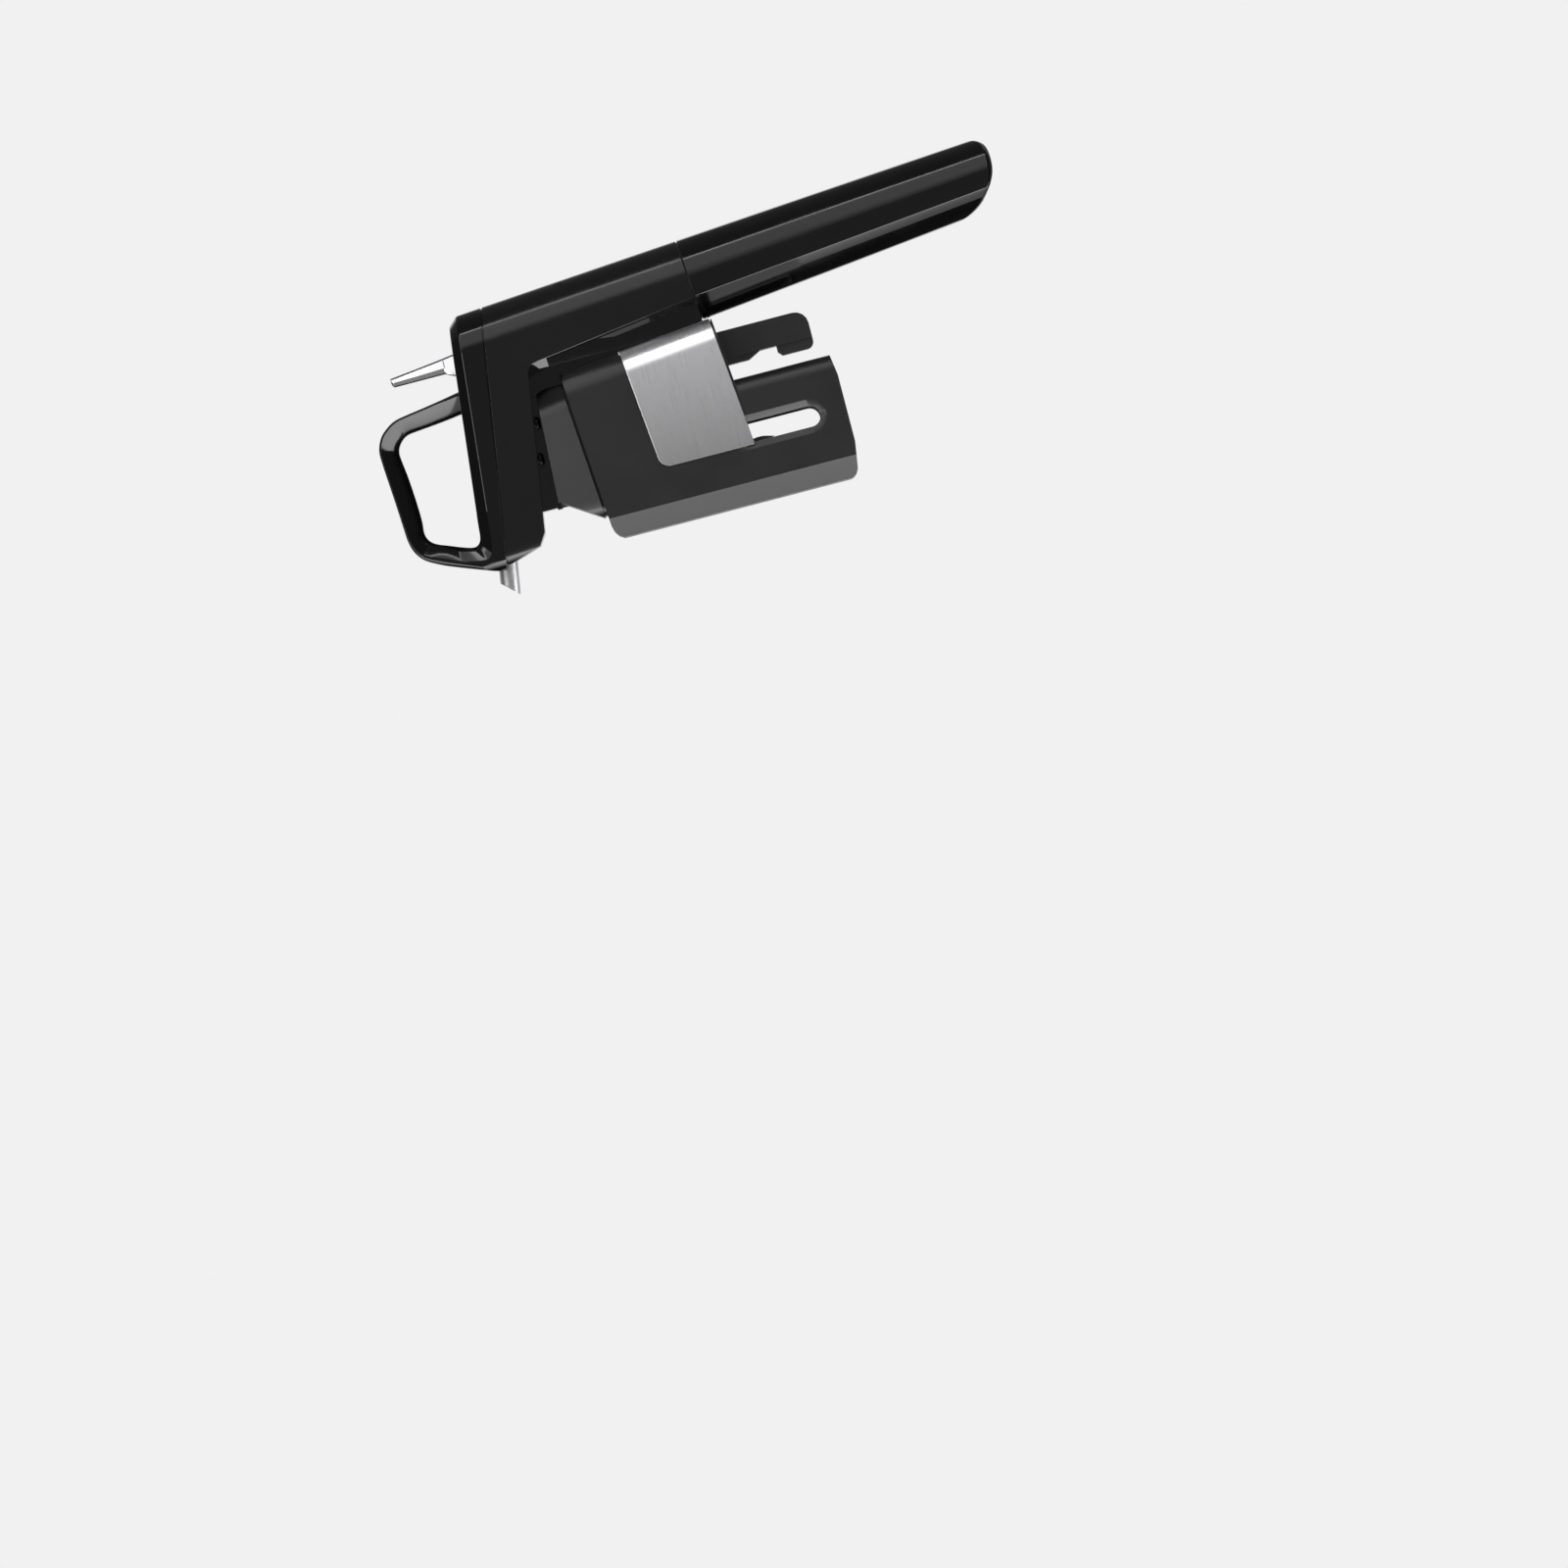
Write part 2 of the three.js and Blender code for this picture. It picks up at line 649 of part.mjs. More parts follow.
const sleeveSide = outline([
  [-sleeveFront - gap, -sleeveDepth],
  [shoulderReach + overrun, -sleeveDepth],
  [shoulderReach + overrun, -overrun],
  [shoulderAt(sleeveTopAt(shoulderReach)), sleeveTopAt(shoulderReach) - shoulderTopChamfer / 2],
  [shoulderReach - 2 * shoulderTopChamfer, sleeveTopAt(shoulderReach - 2 * shoulderTopChamfer)],
  [-sleeveFront - gap, sleeveTopAt(-sleeveFront), sleeveTopRound],
]);

// The band's side view, grown by some amount for the recess it lies in
function bandSide(grown) {
  const front = -bandFront - grown;
  const back = shoulderReach + overrun;
  return outline([
    [front, bandTopAt(front) - bandHeight - grown], [back, bandTopAt(back) - bandHeight - grown],
    [back, bandTopAt(back) + grown], [front, bandTopAt(front) + grown, bandRound],
  ]);
}

const windowPlan = (grown) => {
  const half = windowWidth / 2 + grown;
  const end = -windowEnd - grown;
  const top = -windowEnd + windowLength + grown;
  return outline([
    [windowCentre - half, end, half - gap], [windowCentre + half, end, half - gap],
    [windowCentre + half, top, half - gap], [windowCentre - half, top, half - gap],
  ]);
};

// One jaw pocket, opened from the bore on the side given by its sign
function jawPocket(side) {
  const outer = jawInner + jawThickness + jawTravel;
  const ends = [side * boreRadius / 2, side * outer].sort((a, b) => a - b);
  return box(
    [-jawFront + gap - runGap * 2, ends[0], -jawBottom - runGap * 2],
    [-jawBack + runGap, ends[1], -jawTop + runGap * 2]);
}

// Channel in the shoulder for the rail and its liner; open at the back near the top
function railChannel() {
  const half = railHalfWidth + gap + linerWall + gap;
  const floor = railFront - hookDepth - runGap;
  const back = railBack + runGap;
  return join(
    box([floor, -half, -shoulderDrop - overrun], [back, half, sleeveTopAt(back) + overrun]),
    box([back - gap, -half, -channelOpening], [back + overrun, half, linerTop + overrun]),
  );
}

function clampHousing() {
  const outer = common(
    join(planSolid(sleevePlan, -sleeveDepth, linerTop + overrun),
      common(shoulder(0), aboveShoulderFloor(0))),
    sideSolid(sleeveSide, sleeveHalfWidth + overrun));
  const bandRecess = common(
    cut(shoulder(overrun), shoulder(bandProud - bandThickness - gap)),
    sideSolid(bandSide(gap), sleeveHalfWidth + overrun));
  const windows = [-1, 1].flatMap((side) => {
    const [low, high] = [boreRadius - windowWidth / 2, sleeveHalfWidth + overrun]
      .map((y) => side * y).sort((a, b) => a - b);
    const through = plate(windowPlan(0), high - low).rotateX(Math.PI / 2).translate(0, high, 0);
    const face = side * (sleeveHalfWidth - windowRimDepth);
    const rim = plate(windowPlan(windowRim), overrun).rotateX(Math.PI / 2)
      .translate(0, Math.max(face, face + side * overrun), 0);
    return [through, rim];
  });
  const pinHoles = [-1, 1].map((side) => rod(jawPinRadius + gap, -jawFront - pinSocket - gap,
    -jawBack + pinSocket + gap, [0, side * jawPinLine, -jawPinDrop], backwards, smallSides));
  const collarScrews = [-1, 1].map((side) => screwHole(
    [collarScrewReach, side * collarScrewSide, sleeveTopAt(collarScrewReach) + collarWall], up));
  return cut(outer,
    rod(boreRadius, -sleeveDepth - overrun, seatThickness + gap),
    rod(seatHole, 0, sleeveTop + overrun),
    rod(topWellRadius, seatThickness + ceilingThickness, sleeveTop + overrun),
    bandRecess, ...windows, jawPocket(-1), jawPocket(1), ...pinHoles, ...collarScrews,
    railChannel());
}

add('clamp_housing', clampHousing(), matteBlack());

add('badge_band', common(
  cut(shoulder(bandProud), shoulder(bandProud - bandThickness)),
  sideSolid(bandSide(0), sleeveHalfWidth + overrun)), brushedSteel());

// Collar: side view and end view both taper, and its underside is hollow
function collarForm(inset) {
  const low = (x) => sleeveTopAt(x) + gap;
  const run = (collarFront - collarTopFront) / (collarTop - sleeveTopAt(-collarFront));
  const far = collarBack + overrun;
  const drop = inset > 0 ? overrun : 0;
  const profile = outline([
    [-collarFront + inset, low(-collarFront) - drop], [far, low(far) - drop],
    [far, collarTopAt(far) - inset],
    [-collarTopFront + inset * (1 + run), collarTopAt(-collarTopFront) - inset],
  ]);
  const foot = sleeveTopAt(-collarFront);
  const end = outline([
    [-collarHalfWidth + inset, foot - overrun], [collarHalfWidth - inset, foot - overrun],
    [collarHalfWidth - inset, foot], [collarTopHalfWidth - inset, collarTop + gap],
    [-collarTopHalfWidth + inset, collarTop + gap], [-collarHalfWidth + inset, foot],
  ]);
  const rounded = collarFrontRound - inset;
  const side = collarHalfWidth - inset;
  const back = collarBack - inset;
  const bevel = collarBackBevel - inset / 2;
  const plan = outline([
    [-collarFront + inset, -side, rounded], [back - bevel, -side], [back, bevel - side],
    [back, side - bevel], [back - bevel, side], [-collarFront + inset, side, rounded],
  ]);
  return common(sideSolid(profile, collarHalfWidth + overrun),
    endSolid(end, -collarFront - overrun, far),
    planSolid(plan, 0, collarTop + overrun));
}

const railSlotHalf = railHalfWidth + runGap;

function guideCollar() {
  const pads = [-1, 1].map((side) => rod(screwHead + gap + collarWall, 0, collarTop,
    [collarScrewReach, side * collarScrewSide, 0], up, smallSides));
  const wells = [-1, 1].map((side) => rod(screwHead + gap,
    sleeveTopAt(collarScrewReach) + collarWall, collarTop + overrun,
    [collarScrewReach, side * collarScrewSide, 0], up, smallSides));
  const shafts = [-1, 1].map((side) => screwHole(
    [collarScrewReach, side * collarScrewSide, sleeveTopAt(collarScrewReach) + collarWall], up));
  const shell = cut(collarForm(0), collarForm(collarWall));
  const bosses = common(join(...pads.map((pad) => asSolid(pad))), collarForm(0));
  return cut(join(shell, bosses), ...wells, ...shafts,
    rod(guideRadius + gap, 0, collarTop + overrun),
    box([railFront - hookDepth - runGap, -railSlotHalf, 0],
      [collarBack + overrun, railSlotHalf, collarTop + overrun]));
}

add('guide_collar', guideCollar(), matteBlack());

for (const [side, name] of [[-1, 'left'], [1, 'right']]) {
  add(`collar_screw_${name}`, screw([collarScrewReach, side * collarScrewSide,
    sleeveTopAt(collarScrewReach) + collarWall + gap], up), springSteel());
}

// Bush that guides the needle, standing on the sleeve's ceiling
add('needle_guide', turned([
  [needleRadius + runGap, seatThickness + ceilingThickness + gap],
  [guideFlange, seatThickness + ceilingThickness + gap],
  [guideFlange, seatThickness + ceilingThickness + gap + guideFlangeThickness],
  [guideRadius, seatThickness + ceilingThickness + gap + guideFlangeThickness],
  [guideRadius, collarTop - gap], [needleRadius + runGap, collarTop - gap],
  [needleRadius + runGap, seatThickness + ceilingThickness + gap],
]), nylon());

// Rubber ring that the neck's lip meets; its lower face is the lip's level
add('lip_seal', ring(seatHole, boreRadius - gap, 0, seatThickness), rubber());

// Liner: three walls, open at the back
add('rail_bushing', cut(
  box([railFront - gap - linerWall, -railHalfWidth - gap - linerWall, -linerBottom],
    [railBack, railHalfWidth + gap + linerWall, linerTop]),
  box([railFront - gap, -railHalfWidth - gap, -linerBottom - overrun],
    [railBack + overrun, railHalfWidth + gap, linerTop + overrun])), nylon());

// Jaws, their pads, pins and springs, one set on each side
for (const [side, name] of [[-1, 'left'], [1, 'right']]) {
  const across = (inner, outer) => [side * inner, side * outer].sort((a, b) => a - b);
  const lever = across(jawInner, jawInner + jawThickness);
  const pinPlace = [0, side * jawPinLine, -jawPinDrop];
  const coilFront = -(jawFront + jawBack) / 2 - torsionPitch * torsionTurns / 2;
  const coilBack = coilFront + torsionPitch * torsionTurns;
  const notch = torsionRadius + torsionWire + runGap;
  const barrel = rod(jawBarrel, -jawFront + 2 * gap, -jawBack, pinPlace, backwards, smallSides);
  add(`jaw_${name}`, cut(
    join(box([-jawFront + 2 * gap, lever[0], -jawBottom], [-jawBack, lever[1], -jawTop - 2 * gap]),
      barrel),
    rod(jawPinRadius + gap, -jawFront - overrun, overrun, pinPlace, backwards, smallSides),
    box([coilFront - runGap, pinPlace[1] - notch, -jawPinDrop - notch],
      [coilBack + runGap, pinPlace[1] + notch, -jawPinDrop + notch])), nylon());
  const pad = across(boreRadius / 3, jawInner - gap);
  add(`jaw_pad_${name}`, cut(
    box([-jawFront + 2 * gap + padInset, pad[0], -padBottom],
      [-jawBack - padInset, pad[1], -padTop]),
    rod(padReach, -sleeveDepth, 0)), rubber());
  add(`jaw_pin_${name}`, rod(jawPinRadius, -jawFront - pinSocket, -jawBack + pinSocket, pinPlace,
    backwards, smallSides), springSteel());
  const spring = coil(torsionRadius, torsionWire, torsionPitch * torsionTurns, torsionTurns)
    .rotateY(Math.PI / 2).translate(coilFront, side * jawPinLine, -jawPinDrop);
  add(`jaw_spring_${name}`, spring, springSteel());
}

// Outer form of the head: a rounded plan that leans, drawn in by some amount, at a height
function headRing(inset, heightAt) {
  const taper = (headBackHalfWidth - headFrontHalfWidth) / (headBack + headFront);
  const back = headBackHalfWidth - inset;
  const front = headFrontHalfWidth - inset;
  const backRound = headBackRound - inset;
  const frontRound = Math.max(headFrontRound - inset, gap);
  const corners = [
    [-headFront + inset, -front, frontRound], [headBack - inset, -back + taper, backRound],
    [headBack - inset, back - taper, backRound], [-headFront + inset, front, frontRound],
  ];
  const lean = slope(headLean);
  return outline(corners).map(({ x, y }) => {
    const guess = heightAt(x);
    const height = heightAt(x - guess * lean);
    return new THREE.Vector3(x - height * lean, y, height);
  });
}

const level = (height) => () => height;
const lowest = -jointDrop - overrun;

// Side view of the arm and upper handle under the seam, grown inwards by a wall
function bodySide(inset) {
  const heel = -noseHeel + inset;
  const corner = skirtAt(undersideAt(skirtReach));
  const low = jointLineAt(skirtAt(-jointDrop));
  const top = headBack + overrun;
  const raise = inset > 0 ? overrun : 0;
  return outline([
    [-noseTop + inset, seamAt(-noseTop) + raise],
    [heel, undersideAt(heel) + inset + noseCut / 2],
    [heel + noseCut, undersideAt(heel + noseCut) + inset],
    [corner - inset, undersideAt(corner) + inset, cornerRound / 2],
    [skirtAt(low), low],
    [top, jointLineAt(top)],
    [top, seamAt(top) + raise],
  ]);
}

const downHandle = new THREE.Vector3(0, 0, -1);
const handleBoreTop = jointDrop + seam; // above the joint, past the seam
const handleRod = (radius, from, to) => inHandle(rod(radius, from, to, [0, 0, 0], downHandle));
const spoutWay = new THREE.Vector3(-1, 0, 0).applyAxisAngle(acrossY, rad(spoutTilt));
const spoutPlace = [-spoutReach, 0, spoutHeight];
const lidScrews = [
  ['front_left', lidScrewFront, -lidScrewSide], ['front_right', lidScrewFront, lidScrewSide],
  ['back_left', lidScrewBack, -lidScrewSide], ['back_right', lidScrewBack, lidScrewSide],
].map(([name, x, y]) => ({
  name, place: [x, y, undersideAt(x + screwHead) - gap], way: new THREE.Vector3(0, 0, -1),
}));

function handleBody() {
  const outer = common(stack([headRing(0, level(lowest)), headRing(0, level(lidTop + overrun))]),
    sideSolid(bodySide(0), headBackHalfWidth + overrun));
  const armRoom = common(
    stack([headRing(wall, level(lowest)), headRing(wall, level(lidTop + 2 * overrun))]),
    sideSolid(outline([
      [-noseTop + wall, seamAt(-noseTop) + overrun],
      [-noseHeel + wall, undersideAt(-noseHeel) + wall + noseCut / 2],
      [-noseHeel + wall + noseCut, undersideAt(-noseHeel + noseCut) + wall],
      [jointReach, undersideAt(jointReach) + wall],
      [headBack + overrun, undersideAt(headBack) + wall],
      [headBack + overrun, seamAt(-noseTop) + overrun],
    ]), headBackHalfWidth));
  const spineRoom = box([spineFront - gap, -spineHalfWidth - gap, -jointDrop - overrun],
    [jointReach, spineHalfWidth + gap, undersideAt(skirtReach) - gap]);
  return cut(outer, armRoom, handleRod(handleBore, -handleBoreTop, overrun), spineRoom,
    rod(hubRadius + gap, 0, underside + overrun),
    rod(spoutRadius + gap, -overrun, overrun, spoutPlace, spoutWay),
    ...lidScrews.map(({ place, way }) => screwHole(place, way)));
}

add('handle_body', handleBody(), satinBlack());

// Lid with the finger loop moulded on, ears for the trigger's pin and posts for its screws
function topCover() {
  const outer = stack([headRing(0, (x) => seamAt(x) + gap), headRing(0, edgeAt),
    headRing(edgeInset, lidAt)]);
  const room = stack([headRing(wall, (x) => seamAt(x) - overrun),
    headRing(wall, (x) => edgeAt(x) - wall / 2),
    headRing(wall + edgeInset, (x) => lidAt(x) - wall)]);
  const at = ([back, rise], radius) =>
    [loopBack - back * loopLength, loopFoot + rise * loopRise, radius];
  const outerRounds = [0, loopBackRound, loopFrontRound, loopBow, loopFootRound, 0];
  const holeRounds = [0, loopHoleRound, loopHoleRound, loopHoleRound / 2, 0];
  const hole = loopHoleShares.map((p, i) => at(p, holeRounds[i]));
  const flares = [-1, 1].map((side) => {
    const ringAt = (grown, depth) => outline(grow(hole, grown))
      .map(({ x, y }) => new THREE.Vector3(x, y, depth));
    const far = loopBand * (1 + overrun / loopBandDepth);
    return stack([ringAt(0, loopHalfWidth - loopBandDepth), ringAt(far, loopHalfWidth + overrun)])
      .rotateX(Math.PI / 2).scale(1, side, 1);
  });
  const loop = cut(
    sideSolid(outline(loopOuterShares.map((p, i) => at(p, outerRounds[i]))), loopHalfWidth),
    sideSolid(outline(hole), loopHalfWidth + gap), ...flares);
  const ears = [-1, 1].map((side) => {
    const faces = [triggerHalfWidth + runGap, triggerHalfWidth + runGap + earThickness]
      .map((y) => side * y).sort((a, b) => a - b);
    return box([pivotReach - triggerBoss, faces[0], pivotHeight - 2 * pivotRadius],
      [pivotReach + triggerBoss, faces[1], lidAt(pivotReach) - wall / 2]);
  });
  const posts = lidScrews.map(({ place: [x, y] }) =>
    rod(postRadius, undersideAt(x) + wall + 2 * gap, lidAt(x) - wall / 2,
      [x, y, 0], up, smallSides));
  return cut(
    join(cut(join(outer, loop), room), ...ears, ...posts),
    box([pivotReach - slotFront, -triggerHalfWidth - runGap, pivotHeight],
      [pivotReach + slotBack, triggerHalfWidth + runGap, lidTop + overrun]),
    rod(pivotRadius + gap, -headBackHalfWidth, headBackHalfWidth,
      [pivotReach, 0, pivotHeight], acrossY, smallSides),
    rod(spoutRadius + gap, -overrun, overrun, spoutPlace, spoutWay),
    ...lidScrews.map(({ place, way }) => screwHole(place, way)));
}

add('top_cover', topCover(), glossBlack());
for (const { name, place, way } of lidScrews) {
  add(`lid_screw_${name}`, screw(place, way), springSteel());
}

// Spine: the narrower body under the handle, hollowed round the handle's bore
const spineGap = bandProud + 1.2 * gap;
const railScrewPlace = (() => {
  const rise = (railScrewHeight + jointDrop) * slope(handleTilt);
  const flank = Math.sqrt(handleBore ** 2 - (railScrewSide + screwHead) ** 2);
  return jointReach - rise - flank + gap;
})();
const railScrews = [[-1, 'left'], [1, 'right']].map(([side, name]) => ({
  name, place: [railScrewPlace, side * railScrewSide, railScrewHeight],
}));
const spineFloor = sleeveTopAt(spineFront) + 1.5 * gap;
const spineFoot = shoulderAt(-jointDrop) + spineGap;
add('handle_spine', cut(
  sideSolid(outline([
    [spineFront, railTop], [spineFront, spineFloor],
    [shoulderAt(spineFloor) + spineGap, spineFloor],
    [spineFoot, jointLineAt(spineFoot)],
    [jointReach, jointLineAt(jointReach)], [jointReach, railTop],
  ]), spineHalfWidth),
  handleRod(handleBore, -handleBoreTop, overrun),
  box([0, -railHalfWidth - gap, 0], [railBack + gap, railHalfWidth + gap, railTop + gap]),
  ...railScrews.map(({ place }) => screwHole(place, backwards, railScrewLength))), glossBlack());

// Rail with the hook that stops the head's rise
const hookTop = -railEnd + hookLength;
const lipBack = railFront + lipDepth;
const railSide = outline([
  [railBack, railTop], [railBack, -railEnd, railEndRound],
  [railFront - hookDepth, -railEnd, railEndRound / 2],
  [railFront - hookDepth, hookTop - hookDepth], [railFront, hookTop],
  [railFront + hookNotch, hookTop], [railFront + hookNotch, hookTop + notchLength],
  [railFront, hookTop + notchLength + 2 * hookNotch], [railFront, railTop],
]);
add('rail', cut(
  sideSolid(railSide, railHalfWidth),
  ...[-1, 1].map((side) => {
    const faces = [railHalfWidth - lipStep, railHalfWidth + overrun]
      .map((y) => side * y).sort((a, b) => a - b);
    return box([railFront - hookDepth - overrun, faces[0], -railEnd - overrun],
      [lipBack, faces[1], -shoulderDrop - bandFootRim]);
  }),
  ...railScrews.map(({ place }) => screwHole(place, backwards, railScrewLength))), matteBlack());
for (const { name, place } of railScrews) {
  add(`rail_screw_${name}`, screw(place, backwards, railScrewLength), springSteel());
}

// Boss under the arm, with the needle, its hub and seal
add('needle_boss', cut(
  sideSolid(outline([
    [-bossFront, collarTopAt(-bossFront) + runGap], [bossBack, collarTopAt(bossBack) + runGap],
    [bossBack, undersideAt(bossBack) - gap], [-bossFront, undersideAt(-bossFront) - gap],
  ]), bossHalfWidth),
  rod(hubRadius + gap, 0, underside + overrun),
  ...lidScrews.map(({ place: [x, y] }) =>
    rod(screwHead + gap, 0, underside + overrun, [x, y, 0], up, smallSides))), satinBlack());
const sealFoot = blockBottom - gap - sealThickness / 2;
const hubFoot = collarTop + 2 * gap;
const needleTop = hubStemTop - gap;
add('needle_hub', turned([
  [needleRadius + gap, hubFoot], [hubRadius, hubFoot], [hubRadius, sealFoot - gap],
  [hubStem, sealFoot - gap], [hubStem, hubStemTop], [needleRadius + gap, hubStemTop],
  [needleRadius + gap, hubFoot],
]), brass());
add('needle_seal', ring(hubStem + gap, hubRadius, sealFoot, blockBottom - gap), rubber());
add('needle', cut(
  turned([
    [0, needleTipLength - needleReach], [needleBore, needleTipLength - needleReach],
    [needleBore, needleTop], [needleRadius, needleTop],
    [needleRadius, needleTipLength - needleReach - needleRadius], [0, -needleReach],
  ], [0, 0, 0], up, smallSides),
  rod(needleBore, 0, overrun, [0, 0, needleTipLength + 2 * needleRadius - needleReach],
    backwards, smallSides)), polishedSteel());

// Spout: a steel tube with a slanted tip
const spoutUp = new THREE.Vector3(0, 0, 1).applyAxisAngle(acrossY, rad(spoutTilt));
function spoutTube() {
  const lowTip = new THREE.Vector3(...spoutPlace)
    .addScaledVector(spoutWay, spoutLength)
    .addScaledVector(spoutUp, -spoutRadius);
  const facing = spoutWay.clone().applyAxisAngle(acrossY, rad(spoutCut));
  const half = 2 * overrun;
  const knife = box([-half, -half, 0], [half, half, half])
    .applyQuaternion(new THREE.Quaternion().setFromUnitVectors(up, facing))
    .translate(lowTip.x, lowTip.y, lowTip.z);
  const long = spoutLength + overrun;
  const tubeRing = ring(spoutBore, spoutRadius, -spoutInside, long, spoutPlace, spoutWay,
    hiddenSides);
  return cut(tubeRing, knife);
}
add('spout_tube', spoutTube(), polishedSteel());
add('spout_seal', ring(spoutRadius + gap, spoutRadius + gap + spoutSealWall,
  -spoutSealBack - sealThickness, -spoutSealBack, spoutPlace, spoutWay, hiddenSides), rubber());

// Valve block: passages between needle, spout and gas line
const lineEnd = stemReach + stemHead + 2 * gap;
function valveBlock() {
  const side = outline([
    [-blockFront, blockBottom], [blockStep - blockWeb, blockBottom],
    [blockStep, blockBottom - blockWeb], [blockStep, blockFoot],
    [blockBack, blockFoot], [blockBack, blockShelf], [blockStep, blockShelf],
    [blockStep - gap, blockTop], [blockRiserBack, blockTop], [blockRiserBack, blockRiserTop],
    [-blockFront, blockRiserTop],
  ]);
  const stemPlace = [stemReach, 0, 0];
  return cut(sideSolid(side, blockHalfWidth),
    rod(hubStem + gap, 0, hubStemTop + gap),
    rod(needleRadius + gap, 0, spoutHeight - spoutBore),
    rod(spoutRadius + gap, -spoutInside - gap, overrun, spoutPlace, spoutWay, hiddenSides),
    rod(spoutBore / 2, -spoutReach - needleRadius, 0, spoutPlace, spoutWay, smallSides),
    rod(stemRadius + gap, 0, lidTop, stemPlace, up, hiddenSides),
    rod(stemHead + gap, blockShelf - stemWellDepth, lidTop, stemPlace, up, hiddenSides),
    rod(lineRadius + gap, 0, overrun, [lineEnd - gap, 0, linePortHeight], backwards, smallSides));
}
add('valve_block', valveBlock(), nylon());

// Valve stem and its spring
const stemTop = pivotHeight - fingerDrop - gap;
const stemHeadFoot = stemTop - stemDome - stemHeadThickness;
add('valve_stem', turned([
  [0, stemBottom], [stemRadius, stemBottom], [stemRadius, stemHeadFoot],
  [stemHead, stemHeadFoot], [stemHead, stemTop - stemDome], [stemHead / 2, stemTop - gap / 2],
  [0, stemTop],
], [stemReach, 0, 0], up, hiddenSides), brass());
const valveFoot = blockShelf - stemWellDepth + gap + valveWire;
add('valve_spring', coil((stemRadius + stemHead) / 2, valveWire,
  stemHeadFoot - gap - valveWire - valveFoot, valveTurns)
  .translate(stemReach, 0, valveFoot), springSteel());

// Gas line, a bent tube
const handleUp = new THREE.Vector3(0, 0, 1).applyQuaternion(handle.quaternion);
const portTop = regulatorTop + gap + capThickness + portLength + gap;
const lineFoot = new THREE.Vector3(jointReach, 0, -jointDrop).addScaledVector(handleUp, portTop);
const lineBend = (linePortHeight - lineFoot.z) * lineBendShare;
add('gas_line', tube(new THREE.CubicBezierCurve3(
  lineFoot, lineFoot.clone().addScaledVector(handleUp, lineBend),
  new THREE.Vector3(lineEnd + lineBend, 0, linePortHeight),
  new THREE.Vector3(lineEnd, 0, linePortHeight),
), lineRadius, lineSteps, lineSides, lineBore), springSteel());

// Trigger and its pin
const pivot = [pivotReach, 0, pivotHeight];
function trigger() {
  const root = triggerHalfWidth;
  const tip = triggerTip + gap * 3;
  const blade = sideSolid(triggerBladeShares.map(([across, rise]) => new THREE.Vector2(
    pivotReach + across * triggerRoot, pivotHeight + rise * triggerRise)), root);
  const taper = endSolid([
    [-root, pivotHeight - triggerBoss], [root, pivotHeight - triggerBoss],
    [root, pivotHeight + triggerBoss], [tip, pivotHeight + triggerRise],
    [-tip, pivotHeight + triggerRise], [-root, pivotHeight + triggerBoss],
  ].map(([y, z]) => new THREE.Vector2(y, z)), 0, headBack);
  const finger = box([pivotReach - triggerFinger, -stemHead, pivotHeight - fingerDrop],
    [pivotReach, stemHead, pivotHeight - fingerDrop + fingerThickness]);
  const boss = rod(triggerBoss, -root, root, pivot, acrossY, hiddenSides);
  return cut(join(common(blade, taper), boss, finger),
    rod(pivotRadius + gap, -headBack, headBack, pivot, acrossY, smallSides));
}
add('trigger', trigger(), polishedSteel());
const pinHalf = triggerHalfWidth + runGap + earThickness;
add('trigger_pin', rod(pivotRadius, -pinHalf, pinHalf, pivot, acrossY, smallSides), springSteel());

// Regulator, piston and capsule lie along the handle; heights run down from the joint
const down = (points, sides = hiddenSides) => turned(points, [0, 0, 0], downHandle, sides);
const wellTop = -regulatorBottom - neckWellDepth;
add('regulator_body', down([
  [neckWell, -regulatorBottom], [regulatorRadius, -regulatorBottom],
  [regulatorRadius, -regulatorTop], [chamberRadius, -regulatorTop],
  [chamberRadius, -chamberFloor], [pinShank + gap, -chamberFloor], [pinShank + gap, wellTop],
  [neckWell, wellTop], [neckWell, -regulatorBottom],
]), brass(), handle);
const capFoot = -regulatorTop - gap;
const springTop = -regulatorTop + pistonThickness / 2;
add('regulator_cap', down([
  [lineBore, springTop], [pistonRadius, springTop], [pistonRadius, capFoot],
  [capRadius, capFoot], [capRadius, capFoot - capThickness], [portRadius, capFoot - capThickness],
  [portRadius, capFoot - capThickness - portLength],
  [lineBore, capFoot - capThickness - portLength], [lineBore, springTop],
]), brass(), handle);
const pinFlangeTop = -chamberFloor - gap - pinShank;
const pistonFoot = pinFlangeTop - pistonLift - 2 * gap;
const pistonTop = pistonFoot - pistonThickness;
add('regulator_piston', down([
  [0, pistonFoot], [pistonRadius, pistonFoot], [pistonRadius, pistonTop],
  [pistonStem, pistonTop], [pistonStem, (pistonTop + springTop) / 2],
  [0, (pistonTop + springTop) / 2],
]), nylon(), handle);
const springFoot = pistonTop - gap - springWire;
add('regulator_spring', coil((pistonStem + pistonRadius) / 2, springWire,
  springFoot - springTop - gap - springWire, springTurns)
  .translate(0, 0, -springFoot), springSteel(), handle);
add('piercing_pin', down([
  [0, pinFlangeTop], [2 * pinShank, pinFlangeTop], [2 * pinShank, pinFlangeTop + pinShank],
  [pinShank, pinFlangeTop + pinShank], [pinShank, -pinPoint - 2 * pinShank], [0, -pinPoint],
], smallSides), springSteel(), handle);
add('capsule_seal', down([
  [sealBore, wellTop + gap], [neckWell - gap, wellTop + gap],
  [neckWell - gap, wellTop + gap + sealThickness], [sealBore, wellTop + gap + sealThickness],
  [sealBore, wellTop + gap],
]), rubber(), handle);

